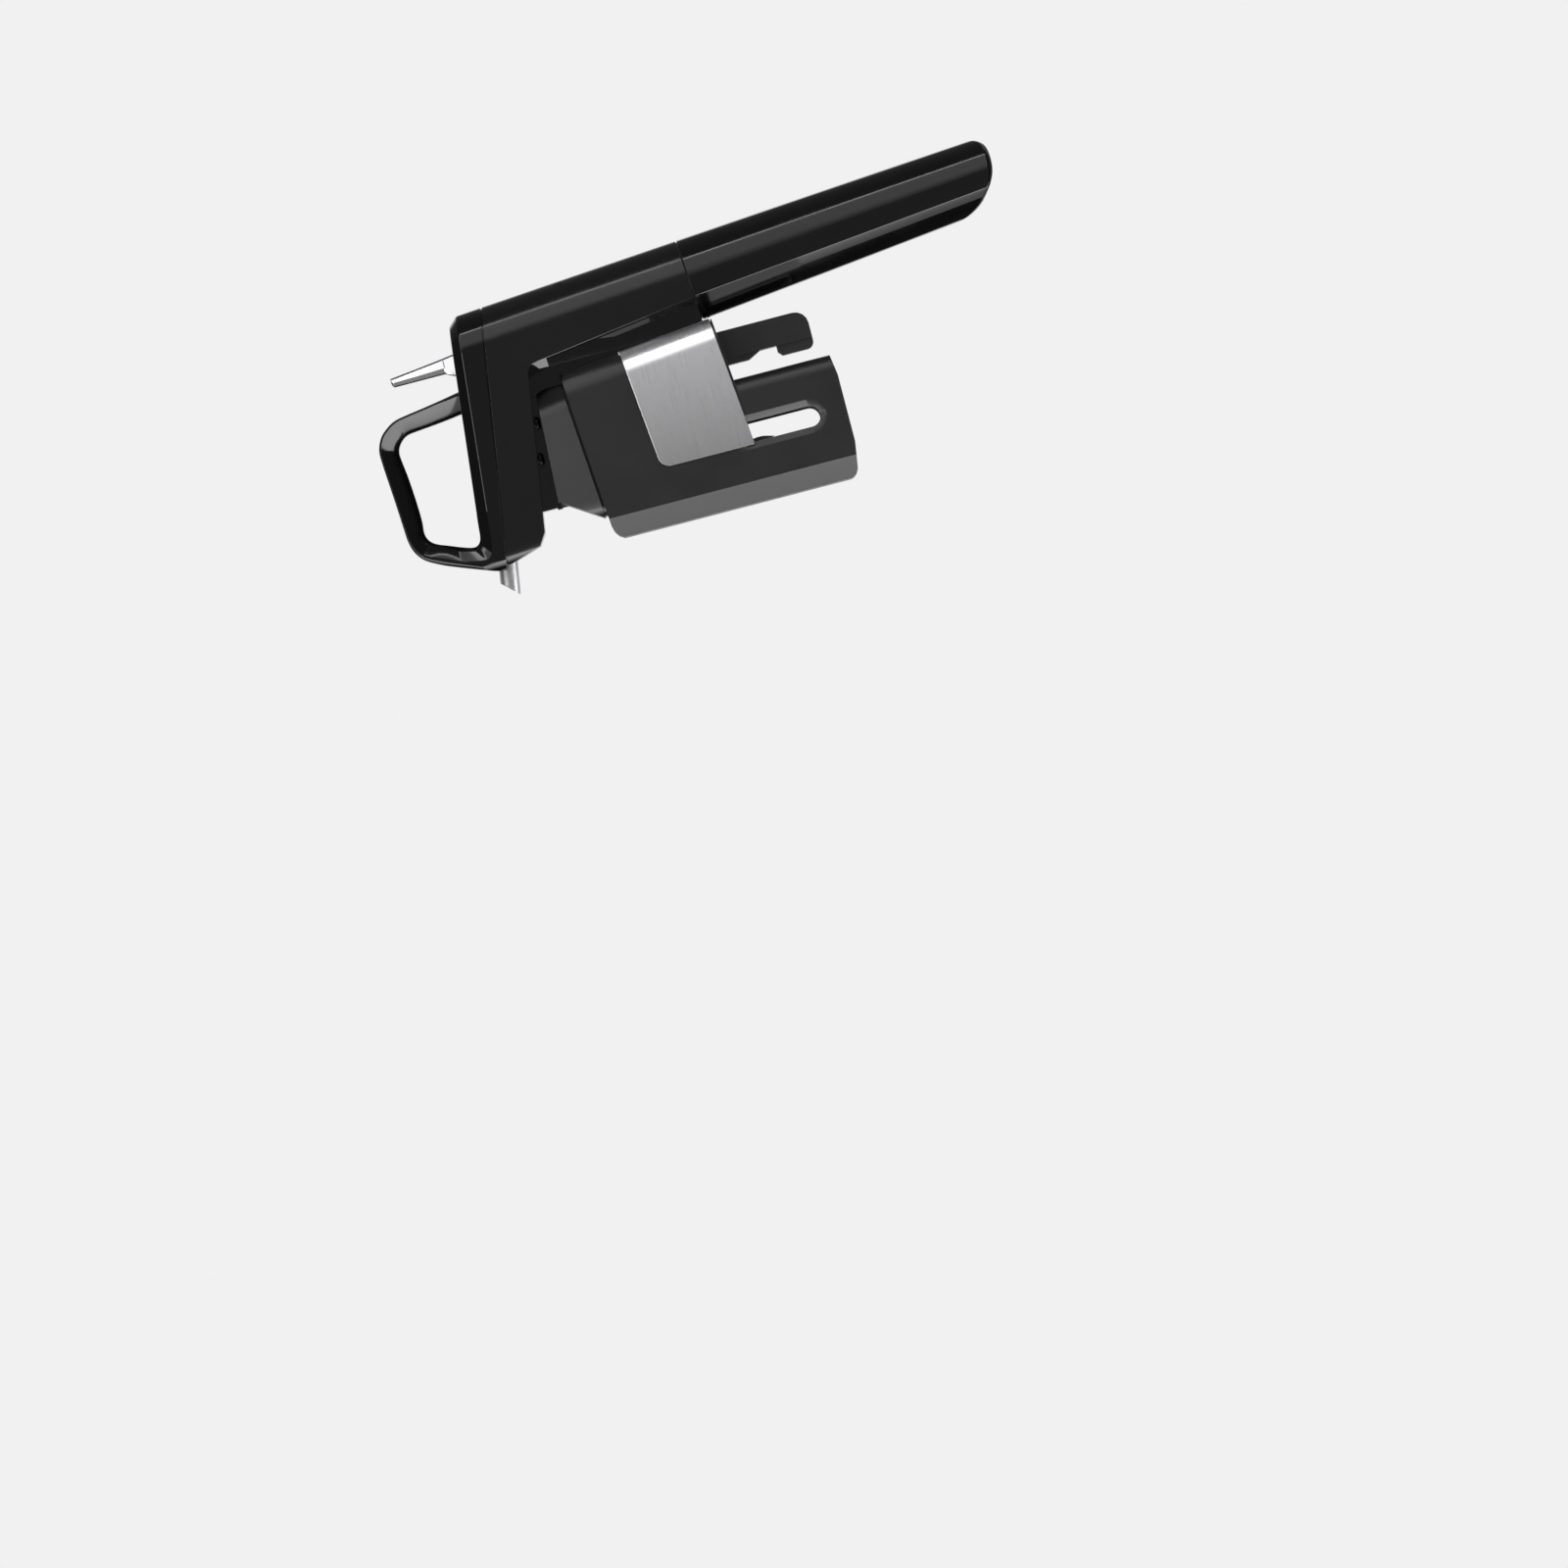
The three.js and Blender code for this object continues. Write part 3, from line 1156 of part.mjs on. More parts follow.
// Gas capsule: a pierced steel flask with a narrow neck
function gasCapsule() {
  const shoulderTop = neckLength - neckTop;
  const flank = shoulderTop + capsuleShoulder;
  const domeTop = capsuleBottom - capsuleDome;
  const shell = (inset) => [
    ...capsuleDomeShares.map(([across, along]) =>
      [across * capsuleRadius - inset, domeTop + along * (capsuleDome - inset)]),
    [0, capsuleBottom - inset],
  ];
  const outer = [
    [capsuleNeck, -neckTop], [capsuleNeck, shoulderTop],
    [(capsuleNeck + capsuleRadius) / 2, shoulderTop + capsuleShoulder * capsuleShoulderShare],
    [capsuleRadius, flank], ...shell(0),
  ];
  const inner = [
    [pierceRadius, -neckTop], [pierceRadius, -neckTop + 2 * capsuleWall],
    [capsuleNeck - capsuleWall, -neckTop + 2 * capsuleWall],
    [capsuleNeck - capsuleWall, shoulderTop + capsuleWall / 2],
    [capsuleRadius - capsuleWall, flank + capsuleWall / 2], ...shell(capsuleWall),
  ];
  return down([...inner.toReversed(), ...outer]);
}
add('gas_capsule', gasCapsule(), springSteel(), handle);

// Cup: lofted through ribs that each have the same section, bored for the capsule
function cupRib([along, top, bottom, width, lag]) {
  const half = cupSectionShares.map(([depth, side]) => {
    const v = THREE.MathUtils.lerp(top, bottom, depth) * handleRadius;
    const s = (along - lag * depth) * cupLength;
    return new THREE.Vector3(v, side * width * handleRadius, -s);
  });
  const other = half.slice(1, -1).reverse()
    .map((point) => new THREE.Vector3(point.x, -point.y, point.z));
  return [...half, ...other];
}
add('capsule_cup', cut(
  join(stack(cupRibShares.map(cupRib)),
    down([[0, -spigotLength], [spigotRadius, -spigotLength], [spigotRadius, wall], [0, wall]])),
  down([[0, -spigotLength - overrun], [spigotBore, -spigotLength - overrun],
    [spigotBore, cupStep], [cupEndBore, cupStep], [cupEndBore, cupWell], [0, cupWell]])),
glossBlack(), handle);
const restTop = capsuleBottom + gap;
add('capsule_rest', down([
  [0, restTop], [spigotBore - gap, restTop], [spigotBore - gap, cupStep - gap],
  [cupEndBore - gap, cupStep - gap], [cupEndBore - gap, cupWell - gap],
  [cupEndBore / 2, cupWell - gap], [cupEndBore / 2, restTop + restThickness],
  [0, restTop + restThickness],
]), rubber(), handle);

export default device;
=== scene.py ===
"""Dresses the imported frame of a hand-held needle dispenser, and sets its stage.

Lengths in the code are millimetres in the frame's axes: +Z runs up the needle and +X points
to the handle. Meshes are made in metres, as the frame is.
"""
import json
import math

import bmesh
import bpy
from bpy.props import FloatProperty, FloatVectorProperty, IntProperty, PointerProperty
from mathutils import Matrix, Vector


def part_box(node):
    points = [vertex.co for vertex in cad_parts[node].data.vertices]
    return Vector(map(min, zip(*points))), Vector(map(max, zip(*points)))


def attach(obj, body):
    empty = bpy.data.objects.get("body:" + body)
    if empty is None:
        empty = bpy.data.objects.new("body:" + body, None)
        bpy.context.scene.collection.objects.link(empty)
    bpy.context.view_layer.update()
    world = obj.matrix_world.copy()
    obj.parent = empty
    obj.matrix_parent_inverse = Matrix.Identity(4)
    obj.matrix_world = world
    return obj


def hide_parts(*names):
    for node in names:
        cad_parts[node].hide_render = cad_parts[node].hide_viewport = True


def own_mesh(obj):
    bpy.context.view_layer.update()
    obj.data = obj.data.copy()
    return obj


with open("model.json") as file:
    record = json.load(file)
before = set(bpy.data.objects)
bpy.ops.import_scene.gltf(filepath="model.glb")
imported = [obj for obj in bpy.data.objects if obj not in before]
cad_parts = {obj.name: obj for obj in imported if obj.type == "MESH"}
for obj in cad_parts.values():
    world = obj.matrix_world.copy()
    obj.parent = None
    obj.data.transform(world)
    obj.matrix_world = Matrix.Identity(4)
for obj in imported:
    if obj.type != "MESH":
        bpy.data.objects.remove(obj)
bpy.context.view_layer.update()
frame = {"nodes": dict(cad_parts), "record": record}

bl_info = {
    "name": "Needle Dispenser",
    "version": (1, 0, 0),
    "blender": (4, 5, 0),
    "location": "3D View > Sidebar > Dispenser",
    "description": "Builds the visible pieces of a hand-held needle dispenser over its frame",
    "category": "Add Mesh",
}

MM = 0.001
UP = Vector((0, 0, 1))


# Colours

def linear(colour):
    """Linear red, green and blue of an sRGB hex value such as "#8a8a8c"."""
    shares = [int(colour[i:i + 2], 16) / 255 for i in (1, 3, 5)]
    return tuple(c / 12.92 if c <= 0.04045 else ((c + 0.055) / 1.055) ** 2.4 for c in shares)


# Sizes and colours that can be changed

def length(name, description, default):
    """A length that is shown in the scene's unit and kept in metres."""
    return FloatProperty(name=name, description=description, default=default * MM, min=0.0,
                         unit="LENGTH", precision=4)


def amount(name, description, default, **more):
    """A power or a brightness."""
    return FloatProperty(name=name, description=description, default=default, min=0.0, **more)


def tint(name, description, default):
    """A colour, given as an sRGB hex value."""
    return FloatVectorProperty(name=name, description=description, size=3, min=0.0, max=1.0,
                               subtype="COLOR", default=linear(default))


class HeadSizes(bpy.types.PropertyGroup):
    """The arm, its lid and the upper handle."""

    edge: length("Edge rounding", "Rounding of the moulded edges", 0.5)
    lid_edge: length("Lid edge rounding", "Rounding of the lid's two upper edges", 0.45)
    chamfer: length("Lid chamfer", "How far the lid's chamfer draws its top in", 3.0)
    wall: length("Wall", "Thickness of the moulded shells", 2.3)
    mark: length("Mark", "Diameter of the small sunk mark on the handle's back", 2.8)


class LoopSizes(bpy.types.PropertyGroup):
    """The finger loop."""

    inner_band: length("Inner band", "Width of the steep band next to the hole", 1.9)
    inner_depth: length("Inner band depth", "How deep the steep band goes", 2.03)
    main_band: length("Main band", "Width of the band that faces the hole", 4.2)
    main_depth: length("Main band depth", "How deep the main band goes", 3.0)
    steps: IntProperty(name="Steps", description="Sections between two stations", default=7,
                       min=2, max=20)


class CupSizes(bpy.types.PropertyGroup):
    """The lower handle that screws off."""

    radius: length("Radius", "Half of the handle's depth at the joint", 14.05)
    long: length("Length", "From the joint to the domed end", 109.4)
    pitch: length("Thread pitch", "Rise of the screw thread in one turn", 3.0)
    thread: length("Thread depth", "How far the thread stands out", 0.28)
    end: length("End rounding", "Rounding of the edge round the cup's end", 1.8)


class ClampSizes(bpy.types.PropertyGroup):
    """The sleeve that goes over the neck, its collar, band and rail."""

    edge: length("Edge rounding", "Rounding of the sleeve's edges", 0.9)
    collar_edge: length("Collar rounding", "Rounding of the collar's edges", 0.6)
    foot: length("Foot rounding", "Rounding of the sleeve's front foot", 3.6)
    band_edge: length("Band edge", "Rounding of the steel band's edges", 0.3)
    rib: length("Pad rib", "Height of the ribs on the jaw pads", 0.45)
    rib_step: length("Rib spacing", "Distance between the ribs on the jaw pads", 1.6)


class ScrewSizes(bpy.types.PropertyGroup):
    """The button-headed screws."""

    shank: length("Shank radius", "Radius of the threaded shank", 1.2)
    head: length("Head radius", "Radius of the head", 2.3)
    rise: length("Head height", "Height of the head", 1.6)
    socket: length("Socket radius", "Radius of the hexagonal socket", 1.15)


class Finishes(bpy.types.PropertyGroup):
    """Base colours of the materials."""

    satin: tint("Satin black", "Moulded ABS of the arm and handle", "#101011")
    gloss: tint("Gloss black", "Polished ABS of the lid, loop and cup", "#0a0a0b")
    matte: tint("Matte black", "Textured nylon of the clamp", "#101011")
    brushed: tint("Brushed steel", "Stainless steel of the band", "#dfdfe1")
    polished: tint("Polished steel", "Stainless steel of the trigger", "#dadadc")
    satin_steel: tint("Satin steel", "Stainless steel of the spout and needle", "#a6a6a8")
    plain_steel: tint("Plain steel", "Springs, pins and the gas capsule", "#9a9a9c")
    black_steel: tint("Black steel", "Blackened steel of the screws", "#1d1d20")
    brass: tint("Brass", "Turned brass of the regulator and hub", "#c9a95c")
    rubber: tint("Rubber", "Black rubber of the seals and pads", "#101011")
    nylon: tint("Dyed nylon", "Dark nylon of the bushes and levers", "#2b2b2c")
    background: tint("Background", "Pale ground that the camera sees", "#f1f1f1")


class StageSizes(bpy.types.PropertyGroup):
    """Camera, floor and lamps."""

    distance: length("Camera distance", "From the object's plane to the camera", 5000.0)
    across: length("Field", "Width of the object's plane that the camera sees", 528.0)
    drop: length("Floor drop", "How far the floor lies under the neck's lip", 370.0)
    top_watts: amount("Top box", "Power of the large soft box", 5.0, unit="POWER")
    low_watts: amount("Low box", "Power of the box in front of the arm", 13.0, unit="POWER")
    fill_watts: amount("Fill", "Power of the overhead fill", 2.6, unit="POWER")
    front: amount("Front card", "Brightness of the card in front", 0.27)
    streak: amount("Streak card", "Brightest edge of the graded card", 9.0)
    low_near: amount("Low card, near", "Its brightness to the camera", 7.4)
    low_far: amount("Low card, far", "Its brightness behind", 1.3)
    rim: amount("Rim strip", "Brightness of the strip over the camera", 7.0)
    ambient: amount("Ambient", "Brightness of the room's soft light", 0.3)


class DispenserSettings(bpy.types.PropertyGroup):
    """All sizes and colours of the dispenser."""

    head: PointerProperty(type=HeadSizes)
    loop: PointerProperty(type=LoopSizes)
    cup: PointerProperty(type=CupSizes)
    clamp: PointerProperty(type=ClampSizes)
    screw: PointerProperty(type=ScrewSizes)
    finish: PointerProperty(type=Finishes)
    stage: PointerProperty(type=StageSizes)


# The frame's drawing: slopes, places and sizes that more than one piece needs

LEAN = 0.07449  # how far the head's ends lean back for each millimetre down
FALL = 0.15302  # slope of the arm's underside and seam
JOINT = Vector((57.85, 0.0, -31.0))  # where the cup meets the handle, on the handle's axis
TILT = math.radians(4.5)
DOWN = Vector((math.sin(TILT), 0, -math.cos(TILT)))  # along the handle
NOSE = 16.6  # the head's front, level with the lip
HEAD_BACK = 69.59  # and its back there
FRONT_HALF = 11.405  # half of the head's width at its front and at its back
BACK_HALF = 14.02
HANDLE_BORE = 11.6
HUB_ROOM = 4.9  # radius of the hub's hole in the arm
SPOUT_PLACE = Vector((-21.3, 0, 52.16))  # where its axis leaves the nose
SPOUT_TILT = math.radians(9.4)
SPOUT_WAY = Vector((-math.cos(SPOUT_TILT), 0, math.sin(SPOUT_TILT)))
SPOUT_RADIUS = 3.25
PIVOT = (50.5, 0, 46.5)  # middle of the trigger's pin
PIN_ROOM = 1.8
SHOULDER_HALF = 20.8  # half of the sleeve's width
CAPSULE_RADIUS = 10.1  # of the well that takes it
SPIGOT_RADIUS = 11.2
PAD_REACH = 14.2  # from the needle's axis to the jaw pads' faces
WINDOW_X = 2.85  # the window's middle line, half width, top and foot
WINDOW_HALF = 3.55
WINDOW_TOP = -32.4
WINDOW_FOOT = -62.4
BAND_TOP, BAND_FOOT = 6.2, 38.55  # how far the band's two edges lie under the lip, at x = 0
COLLAR_BACK, COLLAR_HALF = 34.1, 17.5


# Lines of the side view, as heights over x or reaches over z

def underside(x):
    return 35.2 - FALL * x


def seam(x):
    return 48.9 - FALL * x


def lid_edge(x):
    return 54.15 - 0.097 * x


def lid_top(x):
    return 57.75 - 0.10757 * x


def skirt(z):
    return 47.3 - 0.13538 * z


def joint_line(x):
    return (x - JOINT.x) * 0.0787 + JOINT.z


def shoulder_back(z):
    return 39.5 - 0.10193 * z


def band_line(x, drop):
    return 0.09805 * x - drop


# Making meshes

def rounded(corners, steps=12):
    """Points of an outline whose corners are (across, up) or (across, up, radius)."""
    points = []
    for i, corner in enumerate(corners):
        here = Vector(corner[:2])
        radius = corner[2] if len(corner) > 2 else 0
        if radius <= 0:
            points.append(here)
            continue
        back = (Vector(corners[i - 1][:2]) - here).normalized()
        on = (Vector(corners[(i + 1) % len(corners)][:2]) - here).normalized()
        half = back.angle(on) / 2
        centre = here + (back + on).normalized() * (radius / math.sin(half))
        start = here + back * (radius / math.tan(half)) - centre
        end = here + on * (radius / math.tan(half)) - centre
        turn = math.atan2(start.x * end.y - start.y * end.x, start.dot(end))
        count = max(1, round(abs(turn) / (math.pi / 2) * steps))
        for k in range(count + 1):
            points.append(centre + Matrix.Rotation(turn * k / count, 2) @ start)
    return points


def show(name, data):
    """A new object in the scene, for a mesh, a lamp or a camera."""
    made = bpy.data.objects.new(name, data)
    bpy.context.scene.collection.objects.link(made)
    return made


def ring_mesh(name, rings, faces):
    """A new object through the rings' points, in millimetres, its faces turned outwards."""
    mesh = bpy.data.meshes.new(name)
    mesh.from_pydata([Vector(point) * MM for ring in rings for point in ring], [], faces)
    shape = bmesh.new()
    shape.from_mesh(mesh)
    bmesh.ops.recalc_face_normals(shape, faces=shape.faces)
    shape.to_mesh(mesh)
    shape.free()
    return show(name, mesh)


def walls(rings):
    """The faces between rings that all have the same number of points."""
    count = len(rings[0])
    faces = []
    for level in range(0, (len(rings) - 1) * count, count):
        for i in range(count):
            a, b = level + i, level + (i + 1) % count
            faces.append((a, b, b + count, a + count))
    return faces


def loft(name, rings):
    """A closed solid through rings that all have the same number of points."""
    count = len(rings[0])
    last = (len(rings) - 1) * count
    caps = [tuple(range(count))[::-1], tuple(range(last, last + count))]
    return ring_mesh(name, rings, walls(rings) + caps)


def side_solid(name, outline, low, high):
    """A side view, as (x, z) points, made solid from y = low to y = high."""
    return loft(name, [[(x, y, z) for x, z in outline] for y in (low, high)])


def plan_solid(name, outline, low, high):
    """A plan, as (x, y) points, made solid from z = low to z = high."""
    return loft(name, [[(x, y, z) for x, y in outline] for z in (low, high)])


def turn_up_to(direction):
    """The turn that takes +Z to a direction."""
    return UP.rotation_difference(Vector(direction)).to_matrix()


def turned(name, profile, place=(0, 0, 0), direction=UP, sides=64):
    """A closed turned shape from (radius, along) points, about a line from a place."""
    turn = turn_up_to(direction)
    rings = []
    for radius, along in profile:
        ring = []
        for i in range(sides):
            angle = 2 * math.pi * i / sides
            spoke = Vector((radius * math.cos(angle), radius * math.sin(angle), along))
            ring.append(turn @ spoke + Vector(place))
        rings.append(ring)
    return loft(name, rings)


def rod(name, radius, low, high, place=(0, 0, 0), direction=UP, sides=64):
    """A round bar along a line from a place."""
    return turned(name, [(radius, low), (radius, high)], place, direction, sides)


def block(name, low, high):
    """A box between two corners."""
    outline = [(low[0], low[1]), (high[0], low[1]), (high[0], high[1]), (low[0], high[1])]
    return plan_solid(name, outline, low[2], high[2])


def discard(piece):
    """Deletes a piece that has been used up."""
    mesh = piece.data
    bpy.data.objects.remove(piece)
    bpy.data.meshes.remove(mesh)


def settle(piece):
    """Keeps the shape that the piece's modifiers give as its plain mesh."""
    graph = bpy.context.evaluated_depsgraph_get()
    mesh = bpy.data.meshes.new_from_object(piece.evaluated_get(graph), depsgraph=graph)
    old = piece.data
    piece.modifiers.clear()
    piece.data = mesh
    bpy.data.meshes.remove(old)
    mesh.name = piece.name


def combine(piece, operation, *others):
    """Joins, cuts or crosses the piece with others, which are used up."""
    for other in others:
        modifier = piece.modifiers.new(operation, "BOOLEAN")
        modifier.operation = operation
        modifier.solver = "EXACT"
        modifier.object = other
    settle(piece)
    for other in others:
        discard(other)
    if not piece.data.polygons:
        raise RuntimeError(f"{piece.name} has no faces left after {operation}")
    return piece


def soften(piece, width, angle=32, segments=3):
    """Rounds the edges that are sharper than an angle; width is in metres."""
    bevel = piece.modifiers.new("edges", "BEVEL")
    bevel.width = width
    bevel.segments = segments
    bevel.limit_method = "ANGLE"
    bevel.angle_limit = math.radians(angle)
    bevel.use_clamp_overlap = True
    bevel.miter_outer = "MITER_ARC"
    settle(piece)


def dress(piece, material, body, *nodes, slot=None, angle=30):
    mesh = piece.data
    mesh.materials.clear()
    mesh.materials.append(material)
    mesh.polygons.foreach_set("material_index", [0] * len(mesh.polygons))
    mesh.shade_smooth()
    mesh.set_sharp_from_angle(angle=math.radians(angle))
    normals = piece.modifiers.new("normals", "WEIGHTED_NORMAL")
    normals.keep_sharp = True
    normals.weight = 100
    settle(piece)
    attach(piece, body)
    if nodes:
        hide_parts(*nodes)


def node_copy(node, name):
    """A copy of a frame solid, its loose triangles merged and its flat faces whole."""
    mesh = frame["nodes"][node].data.copy()
    mesh.name = name
    for extra in list(mesh.attributes):
        if extra.name == "custom_normal":
            mesh.attributes.remove(extra)
    shape = bmesh.new()
    shape.from_mesh(mesh)
    bmesh.ops.remove_doubles(shape, verts=shape.verts, dist=2e-6)
    bmesh.ops.dissolve_limit(shape, angle_limit=math.radians(0.4), verts=shape.verts,
                             edges=shape.edges, delimit={"NORMAL"})
    shape.to_mesh(mesh)
    shape.free()
    return show(name, mesh)


def merge(piece, *others):
    """Adds the meshes of others to the piece as they are, and uses them up."""
    shape = bmesh.new()
    for part in (piece, *others):
        shape.from_mesh(part.data)
    shape.to_mesh(piece.data)
    shape.free()
    for other in others:
        discard(other)


def along_path(stations, steps):
    """Smooth values through the stations, each a list of numbers, by a Catmull-Rom curve."""
    found = []
    last = len(stations) - 1
    for i in range(last):
        a, b = stations[max(i - 1, 0)], stations[i]
        c, d = stations[i + 1], stations[min(i + 2, last)]
        for k in range(steps):
            t = k / steps
            found.append([
                0.5 * (2 * q + (r - p) * t + (2 * p - 5 * q + 4 * r - s) * t * t
                       + (3 * q - p - 3 * r + s) * t ** 3)
                for p, q, r, s in zip(a, b, c, d)
            ])
    found.append(list(stations[-1]))
    return found


# Materials

def feed(tree, node, inputs):
    """Sets a node's inputs to values, or links them to a node's first or a given output."""
    for key, value in inputs.items():
        if isinstance(value, bpy.types.Node):
            value = value.outputs[0]
        if isinstance(value, bpy.types.NodeSocket):
            tree.links.new(value, node.inputs[key])
        else:
            node.inputs[key].default_value = value


def add(tree, kind, inputs=None, **settings):
    """Adds a node with its settings and inputs."""
    made = tree.nodes.new(kind)
    for key, value in settings.items():
        setattr(made, key, value)
    feed(tree, made, inputs or {})
    return made


def reckon(tree, operation, *values):
    """A math node of numbers or other nodes."""
    return add(tree, "ShaderNodeMath", dict(enumerate(values)), operation=operation)


def noise(tree, place, size, detail, roughness=0.5):
    """Noise whose largest features are some millimetres apart."""
    return add(tree, "ShaderNodeTexNoise", {
        "Vector": place, "Scale": 1 / (size * MM), "Detail": detail, "Roughness": roughness})


def bumps(tree, height, depth):
    """A bump as deep as some millimetres."""
    return add(tree, "ShaderNodeBump", {
        "Height": height, "Strength": 1.0, "Distance": depth * MM})


def spread(tree, value, low, high, to_low=0.0, to_high=1.0, **settings):
    """A value's range from low to high, stretched over another one."""
    return add(tree, "ShaderNodeMapRange", {
        "Value": value, "From Min": low, "From Max": high, "To Min": to_low,
        "To Max": to_high}, **settings)


def start_material(name, colour, roughness, more=None):
    """A material with a plain surface; gives it, its tree and its shader node."""
    material = bpy.data.materials.new(name)
    material.use_nodes = True
    material.diffuse_color = (*colour, 1.0)
    tree = material.node_tree
    shader = tree.nodes["Principled BSDF"]
    feed(tree, shader, {"Base Color": (*colour, 1.0), "Roughness": roughness, **(more or {})})
    return material, tree, shader


def plain_surface(colour, name, roughness, grain, patches, more):
    """A material with a fine even bump, and handled patches of slowly changing roughness."""
    material, tree, shader = start_material(name, colour, roughness, more)
    place = add(tree, "ShaderNodeTexCoord").outputs["Object"]
    size, depth, detail = grain
    bump = bumps(tree, noise(tree, place, size, detail, 0.55), depth)
    size, low, high = patches
    rough = spread(tree, noise(tree, place, size, 3.0), 0.3, 0.7, low, high)
    feed(tree, shader, {"Normal": bump, "Roughness": rough})
    return material


def brushed_steel(colour):
    """The band's steel."""
    # Stainless steel drawn over a belt: hairlines round the band, 0.15 mm apart here, which
    # is coarser than the real ones so that they show; they pull its highlights out of line.
    material, tree, shader = start_material("Stainless steel, brushed", colour, 0.3, METAL)
    place = add(tree, "ShaderNodeTexCoord").outputs["Object"]
    stretch = add(tree, "ShaderNodeMapping", {"Vector": place, "Scale": (0.012, 0.012, 1.0)})
    lines = noise(tree, stretch, 0.15, 2.0)
    bump = bumps(tree, lines, 0.002)
    rough = spread(tree, lines, 0.0, 1.0, 0.22, 0.38)
    # Painted highlight and shade: the base colour runs from darker at the band's front to
    # lighter towards the bend, as the light falls on the band.
    axes = add(tree, "ShaderNodeSeparateXYZ", {"Vector": place})
    painted_light_ramp = spread(tree, axes, -0.002, 0.036)
    shade = add(tree, "ShaderNodeMix", {
        "Factor": painted_light_ramp, 6: (*(c * 0.76 for c in colour), 1.0),
        7: (*(min(c * 1.32, 1.0) for c in colour), 1.0)}, data_type="RGBA")
    feed(tree, shader, {"Base Color": shade.outputs[2], "Normal": bump, "Roughness": rough})
    return material


METAL = {"Metallic": 1.0}

# Name; roughness; grain size, depth and detail; patch size, lowest and highest roughness; what
# else the shader is given. Sizes are millimetres.
SURFACES = {
    # Black ABS from a finely blasted mould: a sheen between satin and gloss, with a grain of
    # about 0.5 mm that only breaks up the edges of its reflections.
    "satin": ("ABS, satin moulded", 0.17, (0.5, 0.0012, 2.0), (30, 0.14, 0.2),
              {"IOR": 1.53, "Specular IOR Level": 0.42}),
    # Black ABS from a polished mould: sharp reflections that waver slightly over the wall,
    # where the plastic has shrunk, and faint handling haze.
    "gloss": ("ABS, polished mould", 0.1, (14, 0.012, 0.0), (22, 0.07, 0.14),
              {"IOR": 1.53, "Specular IOR Level": 0.38}),
    # Glass-filled nylon from a spark-eroded mould: even, dull, with a 0.35 mm texture.
    "matte": ("Nylon, spark-eroded texture", 0.37, (0.35, 0.012, 3.0), (26, 0.33, 0.41),
              {"IOR": 1.5, "Specular IOR Level": 0.58}),
    # Stainless steel, mop polished: a clear mirror with a little haze.
    "polished": ("Stainless steel, polished", 0.06, (6, 0.003, 0.0), (8, 0.04, 0.1), METAL),
    # Drawn stainless tube: a satin face with fine marks, about 0.2 mm apart.
    "satin_steel": ("Stainless steel, drawn tube", 0.42, (0.2, 0.0002, 2.0), (5, 0.38, 0.46),
                    METAL),
    # Zinc-plated and drawn steel: slightly dull, with faint spangle of about 1 mm.
    "plain_steel": ("Steel, zinc plated", 0.32, (1.0, 0.002, 2.0), (4, 0.26, 0.4), METAL),
    # Alloy steel, blackened in an oxide bath: almost black, with a soft oily sheen.
    "black_steel": ("Steel, black oxide", 0.38, (0.4, 0.002, 2.0), (3, 0.32, 0.46), METAL),
    # Free-cutting brass off the lathe: fine tool marks of about 0.1 mm, a bright sheen.
    "brass": ("Brass, turned", 0.24, (0.1, 0.001, 2.0), (6, 0.2, 0.32), METAL),
    # Moulded silicone rubber: dark, dull, with a slightly dusty 0.2 mm skin.
    "rubber": ("Silicone rubber, moulded", 0.75, (0.2, 0.01, 3.0), (12, 0.68, 0.84),
               {"IOR": 1.41, "Sheen Weight": 0.15}),
    # Nylon dyed dark: greyer and waxier than the moulded shells beside it.
    "nylon": ("Nylon, dyed", 0.42, (0.6, 0.004, 2.0), (15, 0.36, 0.48), {"IOR": 1.53}),
}
MATERIALS = {}


def finish(name):
    """The material of a finish, made when it is first asked for."""
    if name not in MATERIALS:
        colour = tuple(getattr(bpy.context.scene.dispenser.finish, name))
        MATERIALS[name] = (brushed_steel(colour) if name == "brushed"
                           else plain_surface(colour, *SURFACES[name]))
    return MATERIALS[name]


# Head

def head_ring(inset, height_at):
    """The head's leaning plan, drawn in by some amount, at a height given over x."""
    front = FRONT_HALF - inset
    back = BACK_HALF - inset
    corners = [
        (-NOSE + inset, -front, max(7 - inset, 0.3)), (HEAD_BACK - inset, -back, 13.35 - inset),
        (HEAD_BACK - inset, back, 13.35 - inset), (-NOSE + inset, front, max(7 - inset, 0.3)),
    ]
    ring = []
    for x, y in rounded(corners, 14):
        height = height_at(x - height_at(x) * LEAN)
        ring.append((x - height * LEAN, y, height))
    return ring


def head_column(name, inset):
    """The head's plan, drawn in by some amount, as a column past both of its ends."""
    return loft(name, [head_ring(inset, lambda x, z=z: z) for z in (-42, 64)])


def spout_hole():
    """The hole that the spout comes out of, as a cutter."""
    return rod("spout_hole", SPOUT_RADIUS + 0.3, -8, 12, SPOUT_PLACE, SPOUT_WAY)


def screw_places():
    """Where the lid's screws stand, under the arm, as (x, y, z)."""
    return [(x, y, underside(x + 2.3) - 0.3) for x in (12, 24) for y in (-7.325, 7.325)]


